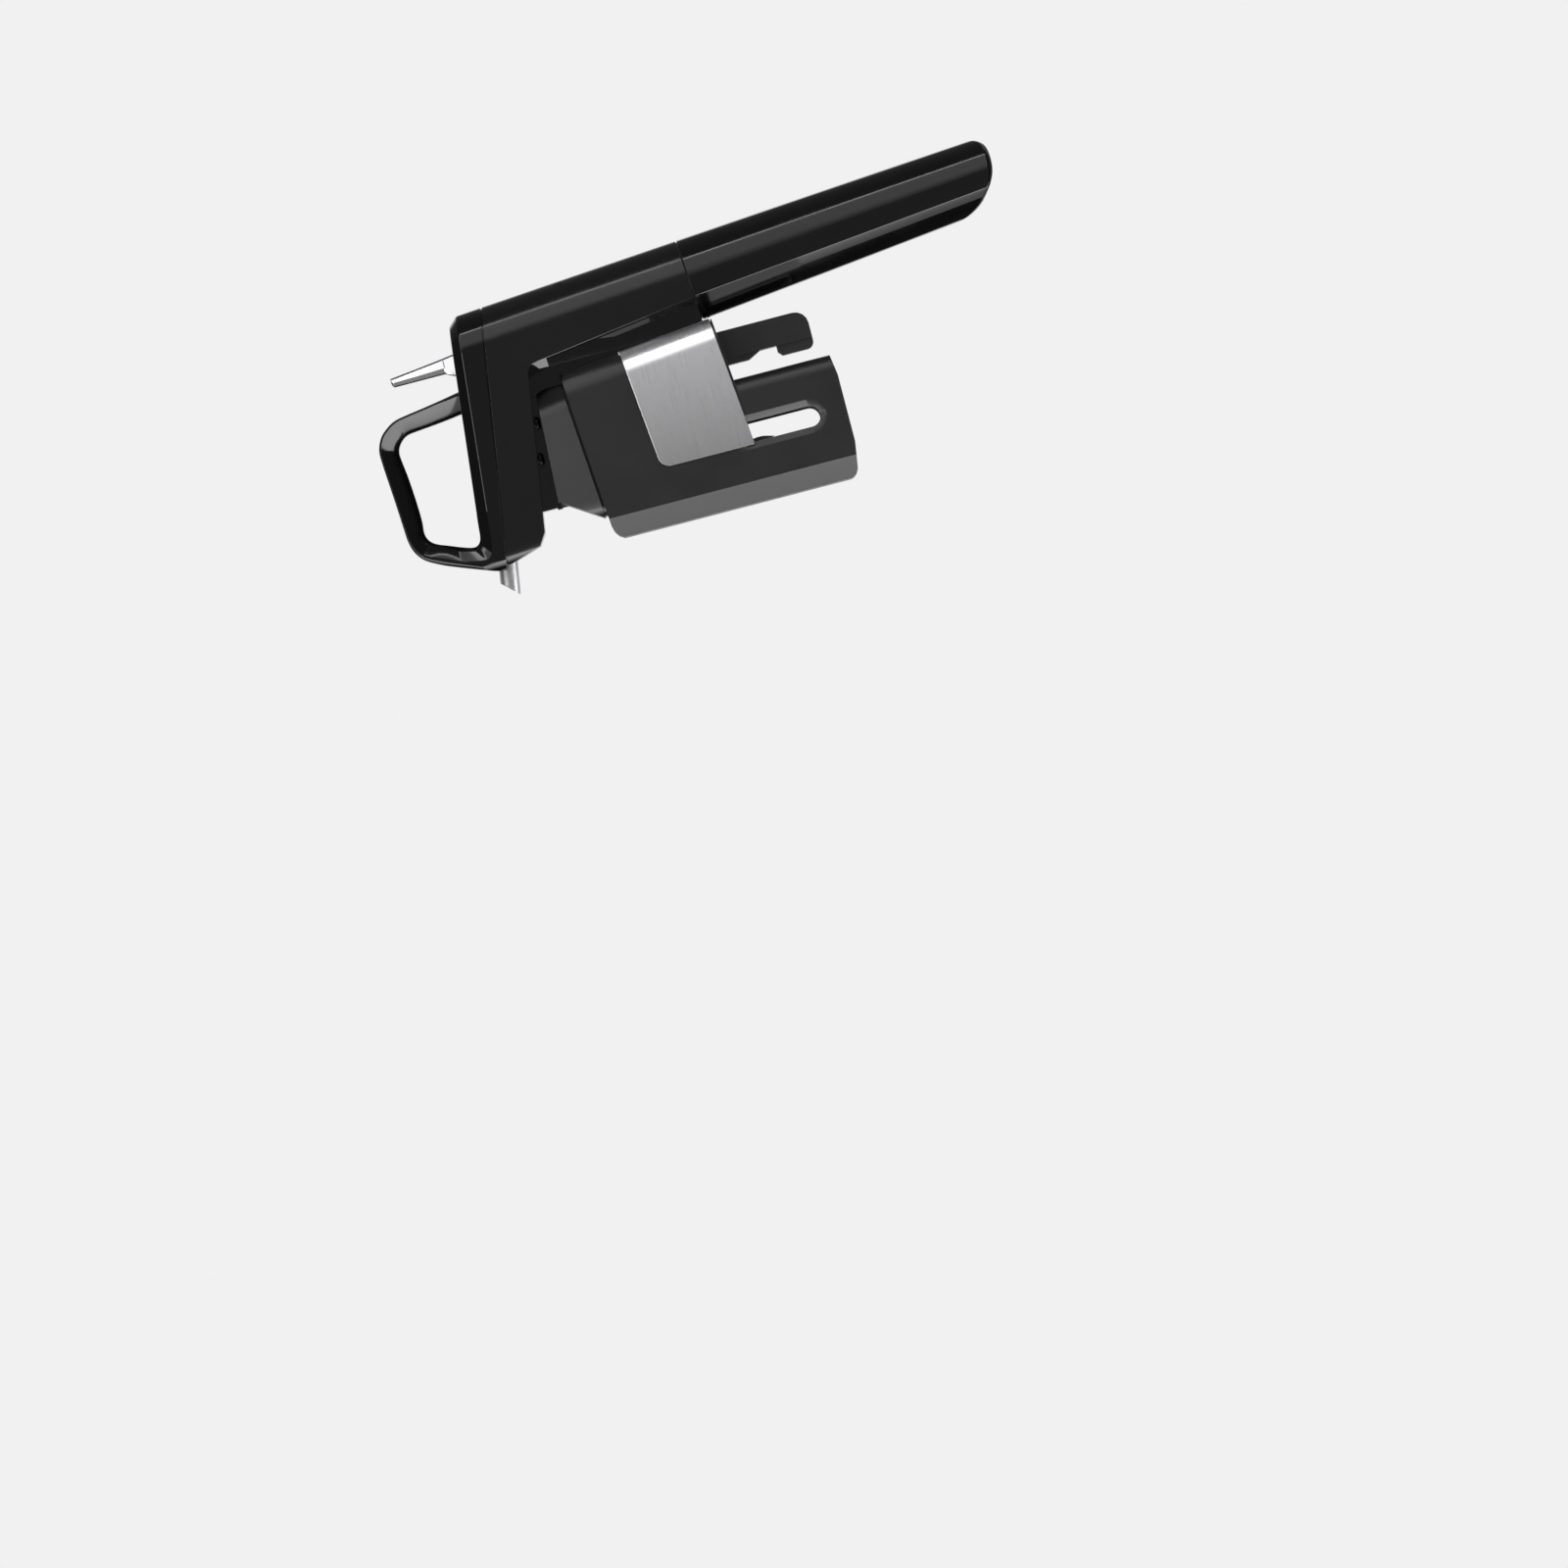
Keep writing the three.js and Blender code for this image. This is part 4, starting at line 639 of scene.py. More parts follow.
class DISPENSER_OT_handle_body(bpy.types.Operator):
    """Make the arm and upper handle: a leaning shell with rounded edges."""

    bl_idname = "dispenser.handle_body"
    bl_label = "Arm and upper handle"

    def execute(self, context):
        sizes = context.scene.dispenser.head
        wall = sizes.wall / MM
        piece = head_column("arm_and_handle", 0)
        corner = skirt(28.5)
        foot = skirt(-32)
        side = rounded([
            (-20, seam(-20)), (-16.2, underside(-16.2) + 2, 0.8), (-12.2, underside(-12.2), 1.5),
            (corner, underside(corner), 3), (foot, joint_line(foot)), (90, joint_line(90)),
            (90, seam(90)),
        ])
        combine(piece, "INTERSECT", side_solid("side", side, -30, 30))
        soften(piece, sizes.edge)
        room = head_column("room", wall)
        shape = [
            (-20 + wall, 60), (-16.2 + wall, underside(-16.2) + wall + 2),
            (-12.2 + wall, underside(-12.2) + wall), (JOINT.x, underside(JOINT.x) + wall),
            (80, underside(80) + wall), (80, 60),
        ]
        combine(room, "INTERSECT", side_solid("room_side", shape, -30, 30))
        spine_room = block("spine_room", (34.2, -10.3, -40), (57.85, 10.3, 27.66))
        bore = rod("bore", HANDLE_BORE, -80, 8, JOINT, DOWN, sides=96)
        holes = [rod("screw_hole", 1.5, -8, 12, place, -UP, 24) for place in screw_places()]
        combine(piece, "DIFFERENCE", room, bore, spine_room, self.mark(sizes),
                rod("hub_hole", HUB_ROOM, 20, 43), spout_hole(), *holes)
        dress(piece, finish("satin"), "head", "handle_body", slot="satin_black")
        return {"FINISHED"}

    def mark(self, sizes):
        """A small ring sunk into the handle's rounded back, as a cutter."""
        radius = sizes.mark / MM / 2
        place, out = (67.75, -5.35, 12.2), (0.936, -0.35, 0.0)
        ring = rod("mark", radius, -0.35, 3, place, out, 32)
        core = rod("core", radius - 0.5, -1, 4, place, out, 32)
        return combine(ring, "DIFFERENCE", core)


# The loop's stations: inner edge x, z; outer edge x, z; half width; share of the inner band;
# rounding of the outer edge; share of the main band's depth. The first lie in the lid, where
# its chamfer starts the band.
LOOP_STATIONS = [
    (-0.6, 57.82, -0.6, 49.3, 11.98, 0, 0.12, 1),
    (-4.4, 58.2, -6, 50.12, 11.82, 0, 0.12, 1),
    (-7.6, 58.5, -13.2, 51.22, 11.62, 0.25, 0.15, 1),
    (-9.6, 59.05, -18.4, 52.02, 11.5, 0.6, 0.3, 0.92),
    (-10.7, 60.1, -20.9, 53, 11.42, 0.85, 0.8, 0.8),
    (-11, 61.6, -20.9, 55, 11.3, 1, 1.4, 0.72),
    (-10.2, 64.6, -19.2, 60.2, 11, 1, 2, 0.7),
    (-8.1, 70, -15.4, 70.2, 10.35, 1, 2.2, 0.7),
    (-7.1, 72.6, -13.2, 75, 9.95, 1, 1.9, 0.72),
    (-5.9, 74.6, -10.8, 78.9, 9.6, 1, 1.4, 0.82),
    (-4.2, 75.95, -7.6, 81.3, 9.35, 1, 1, 1),
    (-1.9, 76.5, -3.6, 82.45, 9.15, 1, 0.7, 1),
    (2.1, 76.2, 1.4, 82.8, 9.05, 1, 0.55, 1),
    (9, 76.4, 8.6, 83.2, 9, 1, 0.5, 1),
    (17, 76.95, 16.4, 83.72, 9, 1, 0.5, 1),
    (23.8, 77.75, 23.2, 84.18, 9, 1, 0.5, 1),
    (26.4, 77.8, 28.3, 84.15, 9, 1, 0.5, 1),
    (28.6, 76.85, 32.6, 82.3, 9, 1, 0.5, 1),
    (30.4, 75.1, 35.4, 79.2, 9, 1, 0.5, 1),
    (31.3, 73.2, 36.9, 76.3, 9, 1, 0.5, 1),
    (31.7, 70.2, 37.7, 72.4, 8.95, 1, 0.5, 1),
    (32.2, 64.8, 38.75, 65.4, 8.85, 1, 0.5, 1),
    (32.9, 58.6, 39.95, 58.2, 8.8, 1, 0.5, 1),
    (33.5, 54.3, 40.8, 53.6, 8.8, 1, 0.5, 1),
    (33.7, 52.6, 41.1, 51.9, 8.8, 1, 0.5, 1),
]


def loop_ring(station, sizes):
    """One section of the loop, from its inner wall round to its outer edge and back."""
    ix, iz, ox, oz, half, share, rounding, lean = station
    inner, outer = Vector((ix, iz)), Vector((ox, oz))
    width = (outer - inner).length
    way = (outer - inner) / width
    steep = sizes.inner_band / MM * share
    band = steep + sizes.main_band / MM * (0.86 + 0.14 * share)
    band = min(band, width - rounding - 0.25)
    deep = sizes.main_depth / sizes.main_band * (band - steep) * lean
    wall = half - deep - sizes.inner_depth / MM * share
    profile = [(0, wall), (max(steep, 0.02), half - deep), (band, half),
               (width - rounding, half)]
    for k in range(1, 6):
        angle = math.pi / 2 * k / 5
        profile.append((width - rounding + rounding * math.sin(angle),
                        half - rounding + rounding * math.cos(angle)))
    whole = [(s, -y) for s, y in profile] + [(s, y) for s, y in reversed(profile)]
    return [(inner.x + way.x * s, y, inner.y + way.y * s) for s, y in whole]


class DISPENSER_OT_top_cover(bpy.types.Operator):
    """Make the lid with the finger loop moulded on."""

    bl_idname = "dispenser.top_cover"
    bl_label = "Lid and finger loop"

    def execute(self, context):
        sizes = context.scene.dispenser.head
        loop_sizes = context.scene.dispenser.loop
        wall, chamfer = sizes.wall / MM, sizes.chamfer / MM
        piece = loft("lid_and_loop", [
            head_ring(0, lambda x: seam(x) + 0.3), head_ring(0, lid_edge),
            head_ring(chamfer, lid_top)])
        combine(piece, "DIFFERENCE", block("front", (-40, -20, 30), (-1.0, 20, 80)))
        soften(piece, sizes.lid_edge, angle=28)
        stations = along_path(LOOP_STATIONS, loop_sizes.steps)
        loop = loft("loop", [loop_ring(station, loop_sizes) for station in stations])
        plan = rounded([(-21.3, -12.05, 7), (70, -14, 0), (70, 14, 0), (-21.3, 12.05, 7)], 16)
        combine(loop, "INTERSECT", plan_solid("plan", plan, 40, 95))
        soften(loop, sizes.lid_edge * 1.2, angle=24)
        room = loft("room", [
            head_ring(wall, lambda x: seam(x) - 8), head_ring(wall, lambda x: lid_edge(x) - 1.2),
            head_ring(wall + chamfer, lambda x: lid_top(x) - wall)])
        slot = block("slot", (43.3, -5.8, 46.5), (55.4, 5.8, 70))
        lip = loft("lip", [head_ring(0.4, lambda x: seam(x) + 0.03),
                           head_ring(0.4, lambda x: seam(x) + 1.2)])
        combine(piece, "UNION", loop, lip)
        combine(piece, "DIFFERENCE", room, slot, spout_hole())
        ears = [block("ear", (46.5, y - 1.2, 43.5), (54.5, y + 1.2, lid_top(50.5) - 1.1))
                for y in (-7.0, 7.0)]
        for ear in ears:
            combine(ear, "DIFFERENCE",
                    rod("pin_hole", PIN_ROOM, -20, 20, PIVOT, (0, 1, 0), 32))
        posts = []
        for x, y, z in screw_places():
            post = rod("post", 2.07, underside(x) + 2.9, lid_top(x) - 1.1, (x, y, 0), sides=24)
            shaft = rod("shaft", 1.5, 0, z + 8.3, (x, y, 0), sides=24)
            posts.append(combine(post, "DIFFERENCE", shaft))
        merge(piece, *ears, *posts)
        dress(piece, finish("gloss"), "head", "top_cover", slot="gloss_black")
        return {"FINISHED"}


class DISPENSER_OT_handle_spine(bpy.types.Operator):
    """Make the narrow gloss body between the rail and the handle."""

    bl_idname = "dispenser.handle_spine"
    bl_label = "Spine"

    def execute(self, context):
        sizes = context.scene.dispenser.head
        piece = node_copy("handle_spine", "spine")
        # Two pads close the view between the spine and the sleeve's shoulder, clear of both.
        foot = -31.4
        band_top = band_line(39.9, 5.9)
        pads = []
        for high, low, room in ((19.0, band_top, 0.12), (band_top, foot, 0.52)):
            outline = [(shoulder_back(high) + room, high), (shoulder_back(high) + 2.2, high),
                       (shoulder_back(low) + 2.2, low), (shoulder_back(low) + room, low)]
            pads.append(side_solid("pad", outline, -9.6, 9.6))
        base = [(34.5, 18.78), (38.2, 19.06), (38.2, 20.5), (34.5, 20.5)]
        pads.append(side_solid("base", base, -9.6, 9.6))
        crown = [(33.2, 28.6), (34.6, 25.0), (44.5, 25.0), (44.5, underside(44.5) + 0.3),
                 (33.2, underside(33.2) + 0.3)]
        pads.append(side_solid("crown", crown, -9.7, 9.7))
        # It widens on both sides to the handle's skin, and in a cove under the arm.
        flares = []
        for side in (-1, 1):
            rings = []
            for z, proud in ((3.0, 0.04), (-2.0, 1.9), (-24.0, 2.6), (-31.2, 3.1)):
                edge = skirt(z)
                foot_z = joint_line(edge) if z < -31 else z
                line = 45.3 - 0.1347 * z if proud > 1 else edge - 0.1
                rings.append([(line, side * 9.9, foot_z),
                              (edge - 0.6, side * (9.95 + proud), foot_z),
                              (edge + 1.2, side * (9.95 + proud), foot_z),
                              (edge + 1.2, side * 9.4, foot_z)])
            flares.append(loft("flare", rings))
            # Its back and front corner at three heights, as x, reach to the side and z.
            corners = (((43.9, 13.1, 28.6), (39.2, 13.1, 29.6)),
                       ((43.9, 12.9, 26.6), (40.0, 11.7, 26.9)),
                       ((44.4, 12.3, 21.9), (41.4, 10.1, 21.7)))
            flares.append(loft("cove", [
                [(a, side * reach, b) for a, reach, b in (back, front, (front[0], 9.4, front[2]),
                                                          (back[0], 9.4, back[2]))]
                for back, front in corners]))
        combine(piece, "UNION", *pads, *flares)
        soften(piece, sizes.edge * 0.5, angle=36, segments=2)
        dress(piece, finish("gloss"), "head", "handle_spine", slot="gloss_black")
        return {"FINISHED"}


class DISPENSER_OT_needle_boss(bpy.types.Operator):
    """Make the block under the arm that holds the needle."""

    bl_idname = "dispenser.needle_boss"
    bl_label = "Needle boss"

    def execute(self, context):
        piece = node_copy("needle_boss", "boss")
        # It meets the arm, wraps the hub and runs back to the spine, close over the collar.
        top = 29.98
        wrap = [(-5.3, top + 0.3), (34.3, top - 34.3 * 0.04716),
                (34.3, underside(34.3) + 0.6), (-5.3, underside(-5.3) + 0.6)]
        shell = side_solid("wrap", wrap, -7.3, 7.3)
        combine(shell, "DIFFERENCE", rod("hub", HUB_ROOM, 20, 45),
                block("room", (4.9, -6.4, 20), (25.0, 6.4, 45)))
        ledge = side_solid("ledge", [(-5.9, 29.3), (-4.1, 29.3), (-3.65, 30.1), (-3.2, 30.3),
                                     (-3.2, 30.9), (-5.9, 30.9)], -6.6, 6.6)
        combine(piece, "UNION", shell, ledge)
        soften(piece, context.scene.dispenser.head.edge * 0.4, segments=2)
        dress(piece, finish("satin"), "head", "needle_boss", slot="satin_black")
        return {"FINISHED"}


class DISPENSER_OT_trigger(bpy.types.Operator):
    """Make the polished trigger: a faceted blade on a turned boss with its finger."""

    bl_idname = "dispenser.trigger"
    bl_label = "Trigger"

    def execute(self, context):
        # Height; the blade's front, crease and back; half its width at the crease, front, back.
        sections = [
            (48.6, 46.6, 48.2, 54.1, 5.35, 4.7, 3.2), (52.6, 46.2, 47.3, 53.7, 5.4, 4.8, 3.2),
            (54.8, 47.2, 48.6, 53.4, 5.3, 4.6, 3.3), (56.0, 47.9, 49.9, 53.2, 5.2, 4.2, 3.6),
            (65.0, 47.9, 49.6, 52.1, 4.6, 3.7, 3.4), (73.6, 47.9, 49.4, 51.05, 4.0, 3.2, 3.15),
            (74.2, 48.1, 49.4, 50.8, 3.3, 2.5, 2.45),
        ]
        edge = 0.62
        rings = []
        for z, front, crease, back, half, front_half, back_half in sections:
            lift = 0.26 if z > 70 else 0.0
            half_ring = [(front, edge - front_half),
                         (front + edge * 0.55, -front_half - edge * 0.25), (crease, -half),
                         (back - edge, -back_half - edge * 0.35), (back, edge - back_half)]
            whole = half_ring + [(x, -y) for x, y in reversed(half_ring)]
            rings.append([(x, y, z + lift * (x - front)) for x, y in whole])
        piece = loft("trigger_lever", rings)
        boss = rod("boss", 4, -5.4, 5.4, PIVOT, (0, 1, 0), 48)
        finger = block("finger", (36.6, -3.7, 44), (50.5, 3.7, 46.4))
        combine(piece, "UNION", boss, finger)
        combine(piece, "DIFFERENCE", rod("pin_hole", PIN_ROOM, -20, 20, PIVOT, (0, 1, 0), 40))
        soften(piece, 0.16 * MM, angle=18)
        dress(piece, finish("polished"), "trigger", "trigger", slot="polished_steel")
        return {"FINISHED"}


class DISPENSER_OT_spout(bpy.types.Operator):
    """Make the spout: a satin steel tube with a slanted tip."""

    bl_idname = "dispenser.spout"
    bl_label = "Spout"

    def execute(self, context):
        piece = rod("spout", SPOUT_RADIUS, -15.7, 16, SPOUT_PLACE, SPOUT_WAY)
        combine(piece, "DIFFERENCE", rod("bore", 2.5, -20, 20, SPOUT_PLACE, SPOUT_WAY))
        up = Vector((math.sin(SPOUT_TILT), 0, math.cos(SPOUT_TILT)))
        tip = SPOUT_PLACE + SPOUT_WAY * 8.4 - up * SPOUT_RADIUS
        facing = Matrix.Rotation(math.radians(33), 3, "Y") @ SPOUT_WAY
        knife = block("knife", (-16, -16, 0), (16, 16, 16))
        knife.data.transform(Matrix.Translation(tip * MM) @ turn_up_to(facing).to_4x4())
        combine(piece, "DIFFERENCE", knife)
        soften(piece, 0.16 * MM, angle=40, segments=2)
        dress(piece, finish("satin_steel"), "head", "spout_tube", slot="polished_steel")
        return {"FINISHED"}


# Cup

# Ribs along the cup: length share, upper and lower edge and width as shares of the radius.
CUP_RIBS = [
    (0.0042, 1, -1, 1), (0.3, 0.992, -0.93, 0.977), (0.6, 0.98, -0.857, 0.951),
    (0.85, 0.967, -0.79, 0.925), (1.03, 0.957, -0.745, 0.903),
]
# Its end in the side view: shares of the radius and of the length, from back to front.
CUP_END = [
    (1.3, 0.80), (1.1, 0.93), (0.97, 0.965), (0.9, 0.985), (0.74, 0.9985), (0.4, 1.0),
    (0.05, 0.992), (-0.24, 0.974), (-0.42, 0.955), (-0.6, 0.928), (-0.74, 0.886), (-0.84, 0.82),
    (-1.1, 0.6),
]
# Half of its section: depth share from the upper edge, half-width share. The flat between
# its back and its front catches the light along the whole cup.
CUP_BACK = [(0, 0), (0.02, 0.29), (0.08, 0.54), (0.18, 0.77), (0.31, 0.925), (0.46, 0.995),
            (0.6, 0.998), (0.705, 0.958)]
CUP_FLAT = [(0.718, 0.945), (0.8, 0.78)]
CUP_FRONT = [(0.812, 0.755), (0.85, 0.668), (0.89, 0.572), (0.93, 0.46), (0.965, 0.325),
             (0.99, 0.17), (1, 0)]


def between(rows, at):
    """The values at some point of rows that start with a rising number."""
    for low, high in zip(rows, rows[1:]):
        if at <= high[0]:
            share = max((at - low[0]) / (high[0] - low[0]), 0.0)
            return [p + (q - p) * share for p, q in zip(low[1:], high[1:])]
    return list(rows[-1][1:])


def cup_rings(section, radius, long, rounding):
    """The cup's sections, from the joint to its end, whose edge turns in by a rounding."""
    ribs = along_path(CUP_RIBS, 10)
    ends = sorted(along_path(CUP_END, 8))
    top, bottom, _ = between(ribs, 0.95)
    reach = [between(ends, top + (bottom - top) * depth)[0] for depth, _ in section]
    start = CUP_RIBS[0][0]
    turn = rounding / long
    steps = [(step / 24, 0.0) for step in range(25)]
    steps += [(1.0, math.pi / 2 * step / 8) for step in range(1, 9)]
    rings = []
    for share, angle in steps:
        shrink = 1 - rounding / radius * (1 - math.cos(angle))
        ring = []
        for (depth, side), end in zip(section, reach):
            along = start + (end - turn - start) * share + turn * math.sin(angle)
            top, bottom, width = between(ribs, along)
            middle = (top + bottom) / 2
            x = middle + (top + (bottom - top) * depth - middle) * shrink
            ring.append((x * radius, side * width * shrink * radius, -along * long))
        rings.append(ring)
    return rings


def cup_shell(name, rings):
    """The cup's solid; its end is ruled straight across between its two sides."""
    count = len(rings[0])
    last = (len(rings) - 1) * count
    faces = [tuple(range(count))[::-1]] + walls(rings)
    for i in range(count // 2):
        corners = [last + i, last + i + 1, last + count - i - 1, last + (count - i) % count]
        faces.append(tuple(dict.fromkeys(corners)))
    return ring_mesh(name, rings, faces)


class DISPENSER_OT_capsule_cup(bpy.types.Operator):
    """Make the lower handle: a lofted cup with a bright flat and a threaded spigot."""

    bl_idname = "dispenser.capsule_cup"
    bl_label = "Screw-off cup"

    def execute(self, context):
        sizes = context.scene.dispenser.cup
        radius, long = sizes.radius / MM, sizes.long / MM
        half = along_path(CUP_BACK, 5) + CUP_FLAT + along_path(CUP_FRONT, 4)
        whole = half + [(depth, -side) for depth, side in reversed(half[1:-1])]
        rings = cup_rings(whole, radius, long, sizes.end / MM)
        piece = cup_shell("cup", rings)
        spigot = rod("spigot", SPIGOT_RADIUS, -9, 2.3, direction=-UP, sides=96)
        combine(piece, "UNION", spigot)
        seat = loft("cup_washer", [[(x * 0.96, y * 0.96, -depth) for x, y, _ in rings[0]]
                                   for depth in (-0.27, 0.42)])
        combine(seat, "DIFFERENCE", rod("seat_hole", SPIGOT_RADIUS + 0.1, -3, 0.6,
                                        direction=-UP, sides=96))
        # The capsule's well is narrower towards the cup's end.
        well = [(CAPSULE_RADIUS, -17), (CAPSULE_RADIUS, 86), (7.4, 86), (7.4, 103)]
        combine(piece, "DIFFERENCE", turned("well", well, direction=-UP, sides=96))
        soften(piece, 0.3 * MM, angle=50, segments=2)
        frame_turn = Matrix.Translation(JOINT * MM) @ Matrix.Rotation(-TILT, 4, "Y")
        for part in (piece, seat):
            part.data.transform(frame_turn)
        dress(piece, finish("gloss"), "cup", "capsule_cup", slot="gloss_black", angle=20)
        dress(seat, finish("rubber"), "cup", slot="rubber")
        rise = 6.0 * MM
        thread = grow("cup_thread", [(0, 0, 0)], coil_tree("Thread ridge", 48, 10), {
            "Radius": SPIGOT_RADIUS * MM, "Length": rise, "Turns": rise / sizes.pitch,
            "Wire": sizes.thread, "Material": finish("gloss")})
        thread.data.transform(frame_turn @ Matrix.Translation((0, 0, 1.6 * MM)))
        dress(thread, finish("gloss"), "cup", slot="gloss_black")
        return {"FINISHED"}


# Clamp

def window_ring(grown, y):
    """The window's outline at some depth, as a ring; grown outwards by some millimetres."""
    half = WINDOW_HALF + grown
    ring = []
    for first, z in ((0, WINDOW_TOP + grown - half), (32, WINDOW_FOOT - grown + half)):
        for i in range(first, first + 33):
            angle = math.pi * i / 32
            ring.append((WINDOW_X + half * math.cos(angle), y, z + half * math.sin(angle)))
    return ring


def window_rim(side):
    """The slope from the sleeve's side down to its window, which fills the sunk rim."""
    fill = loft("rim", [window_ring(2.25, side * y) for y in (19.55, 20.79)])
    slope = loft("slope", [window_ring(grown, side * y) for grown, y in
                           ((0.0, 19.4), (0.0, 19.62), (2.2, 20.82), (2.2, 21.4))])
    return combine(fill, "DIFFERENCE", slope)


class DISPENSER_OT_clamp_housing(bpy.types.Operator):
    """Make the sleeve that goes over the neck, with its shoulder and windows."""

    bl_idname = "dispenser.clamp_housing"
    bl_label = "Sleeve"

    def execute(self, context):
        sizes = context.scene.dispenser.clamp
        piece = node_copy("clamp_housing", "sleeve")
        whole = rounded([(-20.6, -69.7, sizes.foot / MM), (-9, -71.45), (14, -71.45),
                         (21.3, -70.4), (50, -70.4), (50, 30), (-20.6, 30)])
        combine(piece, "INTERSECT", side_solid("whole", whole, -30, 30))
        combine(piece, "UNION", *(window_rim(side) for side in (-1, 1)))
        soften(piece, sizes.edge)
        dress(piece, finish("matte"), "clamp_base", "clamp_housing", slot="matte_black")
        return {"FINISHED"}


def collar_form(inset, foot):
    """The collar's outer form, drawn in by some amount, down to a foot over the sleeve."""
    low = 16 + foot
    side = side_solid("collar", [
        (-12.45 + inset, low - 0.95), (-12.45 + inset, 15.35 + max(foot, 0)),
        (-3.5 + inset * 1.6, 30.07 - inset), (COLLAR_BACK, 28.29 - inset),
        (COLLAR_BACK, low + 2.6)], -20, 20)
    half, top = COLLAR_HALF - inset, 13.8 - inset
    end = [(-half, 5), (half, 5), (half, 15.3), (top, 30.2), (-top, 30.2), (-half, 15.3)]
    ends = loft("end", [[(x, y, z) for y, z in end] for x in (-20, 40)])
    back = COLLAR_BACK - inset
    rings = []
    for z in (8, 33):
        side_half = COLLAR_HALF - (z - 15.3) * 0.2483 - inset
        start = 28.6 - (z - 16) * 0.159 - inset * 0.5
        bevel = back - start
        plan = rounded([
            (-12.45 + inset, -side_half, 7 - inset), (start, -side_half, 7),
            (back, bevel - side_half), (back, side_half - bevel), (start, side_half, 7),
            (-12.45 + inset, side_half, 7 - inset)], 14)
        rings.append([(x, y, z) for x, y in plan])
    return combine(side, "INTERSECT", ends, loft("plan", rings))


class DISPENSER_OT_guide_collar(bpy.types.Operator):
    """Make the tapered collar on top of the sleeve."""

    bl_idname = "dispenser.guide_collar"
    bl_label = "Collar"

    def execute(self, context):
        sizes = context.scene.dispenser.clamp
        piece = collar_form(0, 1.0)
        neck = rounded([(-12.0, -15.2, 5), (27.4, -15.2), (33.6, -9.4), (33.6, 9.4),
                        (27.4, 15.2), (-12.0, 15.2, 5)])
        inner = plan_solid("neck", neck, 10, 25)
        foot = side_solid("foot", [(-13, 14.7), (35, 18.3), (35, 20.5), (-13, 17.0)], -20, 20)
        combine(inner, "INTERSECT", foot)
        combine(piece, "UNION", inner)
        combine(piece, "DIFFERENCE", collar_form(3.2, -4), rod("hole", 5.9, 0, 40),
                block("rail_slot", (24, -6.6, 0), (40, 6.6, 40)))
        soften(piece, sizes.collar_edge)
        dress(piece, finish("matte"), "clamp_base", "guide_collar", slot="matte_black")
        return {"FINISHED"}


def shoulder_ring(grown, z):
    """The shoulder's plan at some height, grown outwards, as a ring."""
    back = shoulder_back(z) + grown
    side = SHOULDER_HALF + grown
    plan = rounded([(-4, -side), (back, -side, 8 + grown), (back, side, 8 + grown), (-4, side)],
                   16)
    return [(x, y, z) for x, y in plan]


class DISPENSER_OT_badge_band(bpy.types.Operator):
    """Make the bare steel band round the shoulder."""

    bl_idname = "dispenser.badge_band"
    bl_label = "Steel band"

    def execute(self, context):
        sizes = context.scene.dispenser.clamp
        piece = loft("band", [shoulder_ring(0.4, -46), shoulder_ring(0.4, 12)])
        inner = loft("inner", [shoulder_ring(-0.4, -50), shoulder_ring(-0.4, 16)])
        side = rounded([
            (-1.5, band_line(-1.5, BAND_FOOT)), (60, band_line(60, BAND_FOOT)),
            (60, band_line(60, BAND_TOP)), (-1.5, band_line(-1.5, BAND_TOP), 4)], 16)
        combine(piece, "DIFFERENCE", inner)
        combine(piece, "INTERSECT", side_solid("side", side, -30, 30))
        soften(piece, sizes.band_edge, angle=40, segments=2)
        dress(piece, finish("brushed"), "clamp_base", "badge_band", slot="brushed_steel")
        return {"FINISHED"}


class DISPENSER_OT_rail(bpy.types.Operator):
    """Make the rail with its stop hook."""

    bl_idname = "dispenser.rail"
    bl_label = "Rail"

    def execute(self, context):
        piece = node_copy("rail", "rail_bar")
        soften(piece, context.scene.dispenser.clamp.edge)
        dress(piece, finish("matte"), "head", "rail", slot="matte_black")
        return {"FINISHED"}


# Repeated pieces, by Geometry Nodes

def new_tree(name, sizes):
    """A node tree with sizes and a material as named inputs; gives it and those inputs."""
    tree = bpy.data.node_groups.new(name, "GeometryNodeTree")
    for way in ("INPUT", "OUTPUT"):
        tree.interface.new_socket("Geometry", in_out=way, socket_type="NodeSocketGeometry")
    for label, default in sizes.items():
        socket = tree.interface.new_socket(label, in_out="INPUT", socket_type="NodeSocketFloat")
        socket.default_value = default
    tree.interface.new_socket("Material", in_out="INPUT", socket_type="NodeSocketMaterial")
    return tree, add(tree, "NodeGroupInput").outputs


def finish_tree(tree, geometry, material):
    """Realize Instances and Set Material, then the tree's end."""
    real = add(tree, "GeometryNodeRealizeInstances", {"Geometry": geometry})
    painted = add(tree, "GeometryNodeSetMaterial", {"Geometry": real, "Material": material})
    add(tree, "NodeGroupOutput", {"Geometry": painted})
    return tree


def grow(name, points, tree, values, ways=None):
    """Runs a tree on a cloud of points, given in metres, and keeps the plain mesh."""
    mesh = bpy.data.meshes.new(name)
    mesh.from_pydata(points, [], [])
    if ways:
        stored = mesh.attributes.new("way", "FLOAT_VECTOR", "POINT")
        stored.data.foreach_set("vector", [c for way in ways for c in way])
    piece = show(name, mesh)
    modifier = piece.modifiers.new("nodes", "NODES")
    modifier.node_group = tree
    for socket in tree.interface.items_tree:
        if socket.in_out == "INPUT" and socket.name in values:
            modifier[socket.identifier] = values[socket.name]
    settle(piece)
    if not piece.data.polygons:
        raise RuntimeError(f"{name} came out of its nodes empty")
    return piece


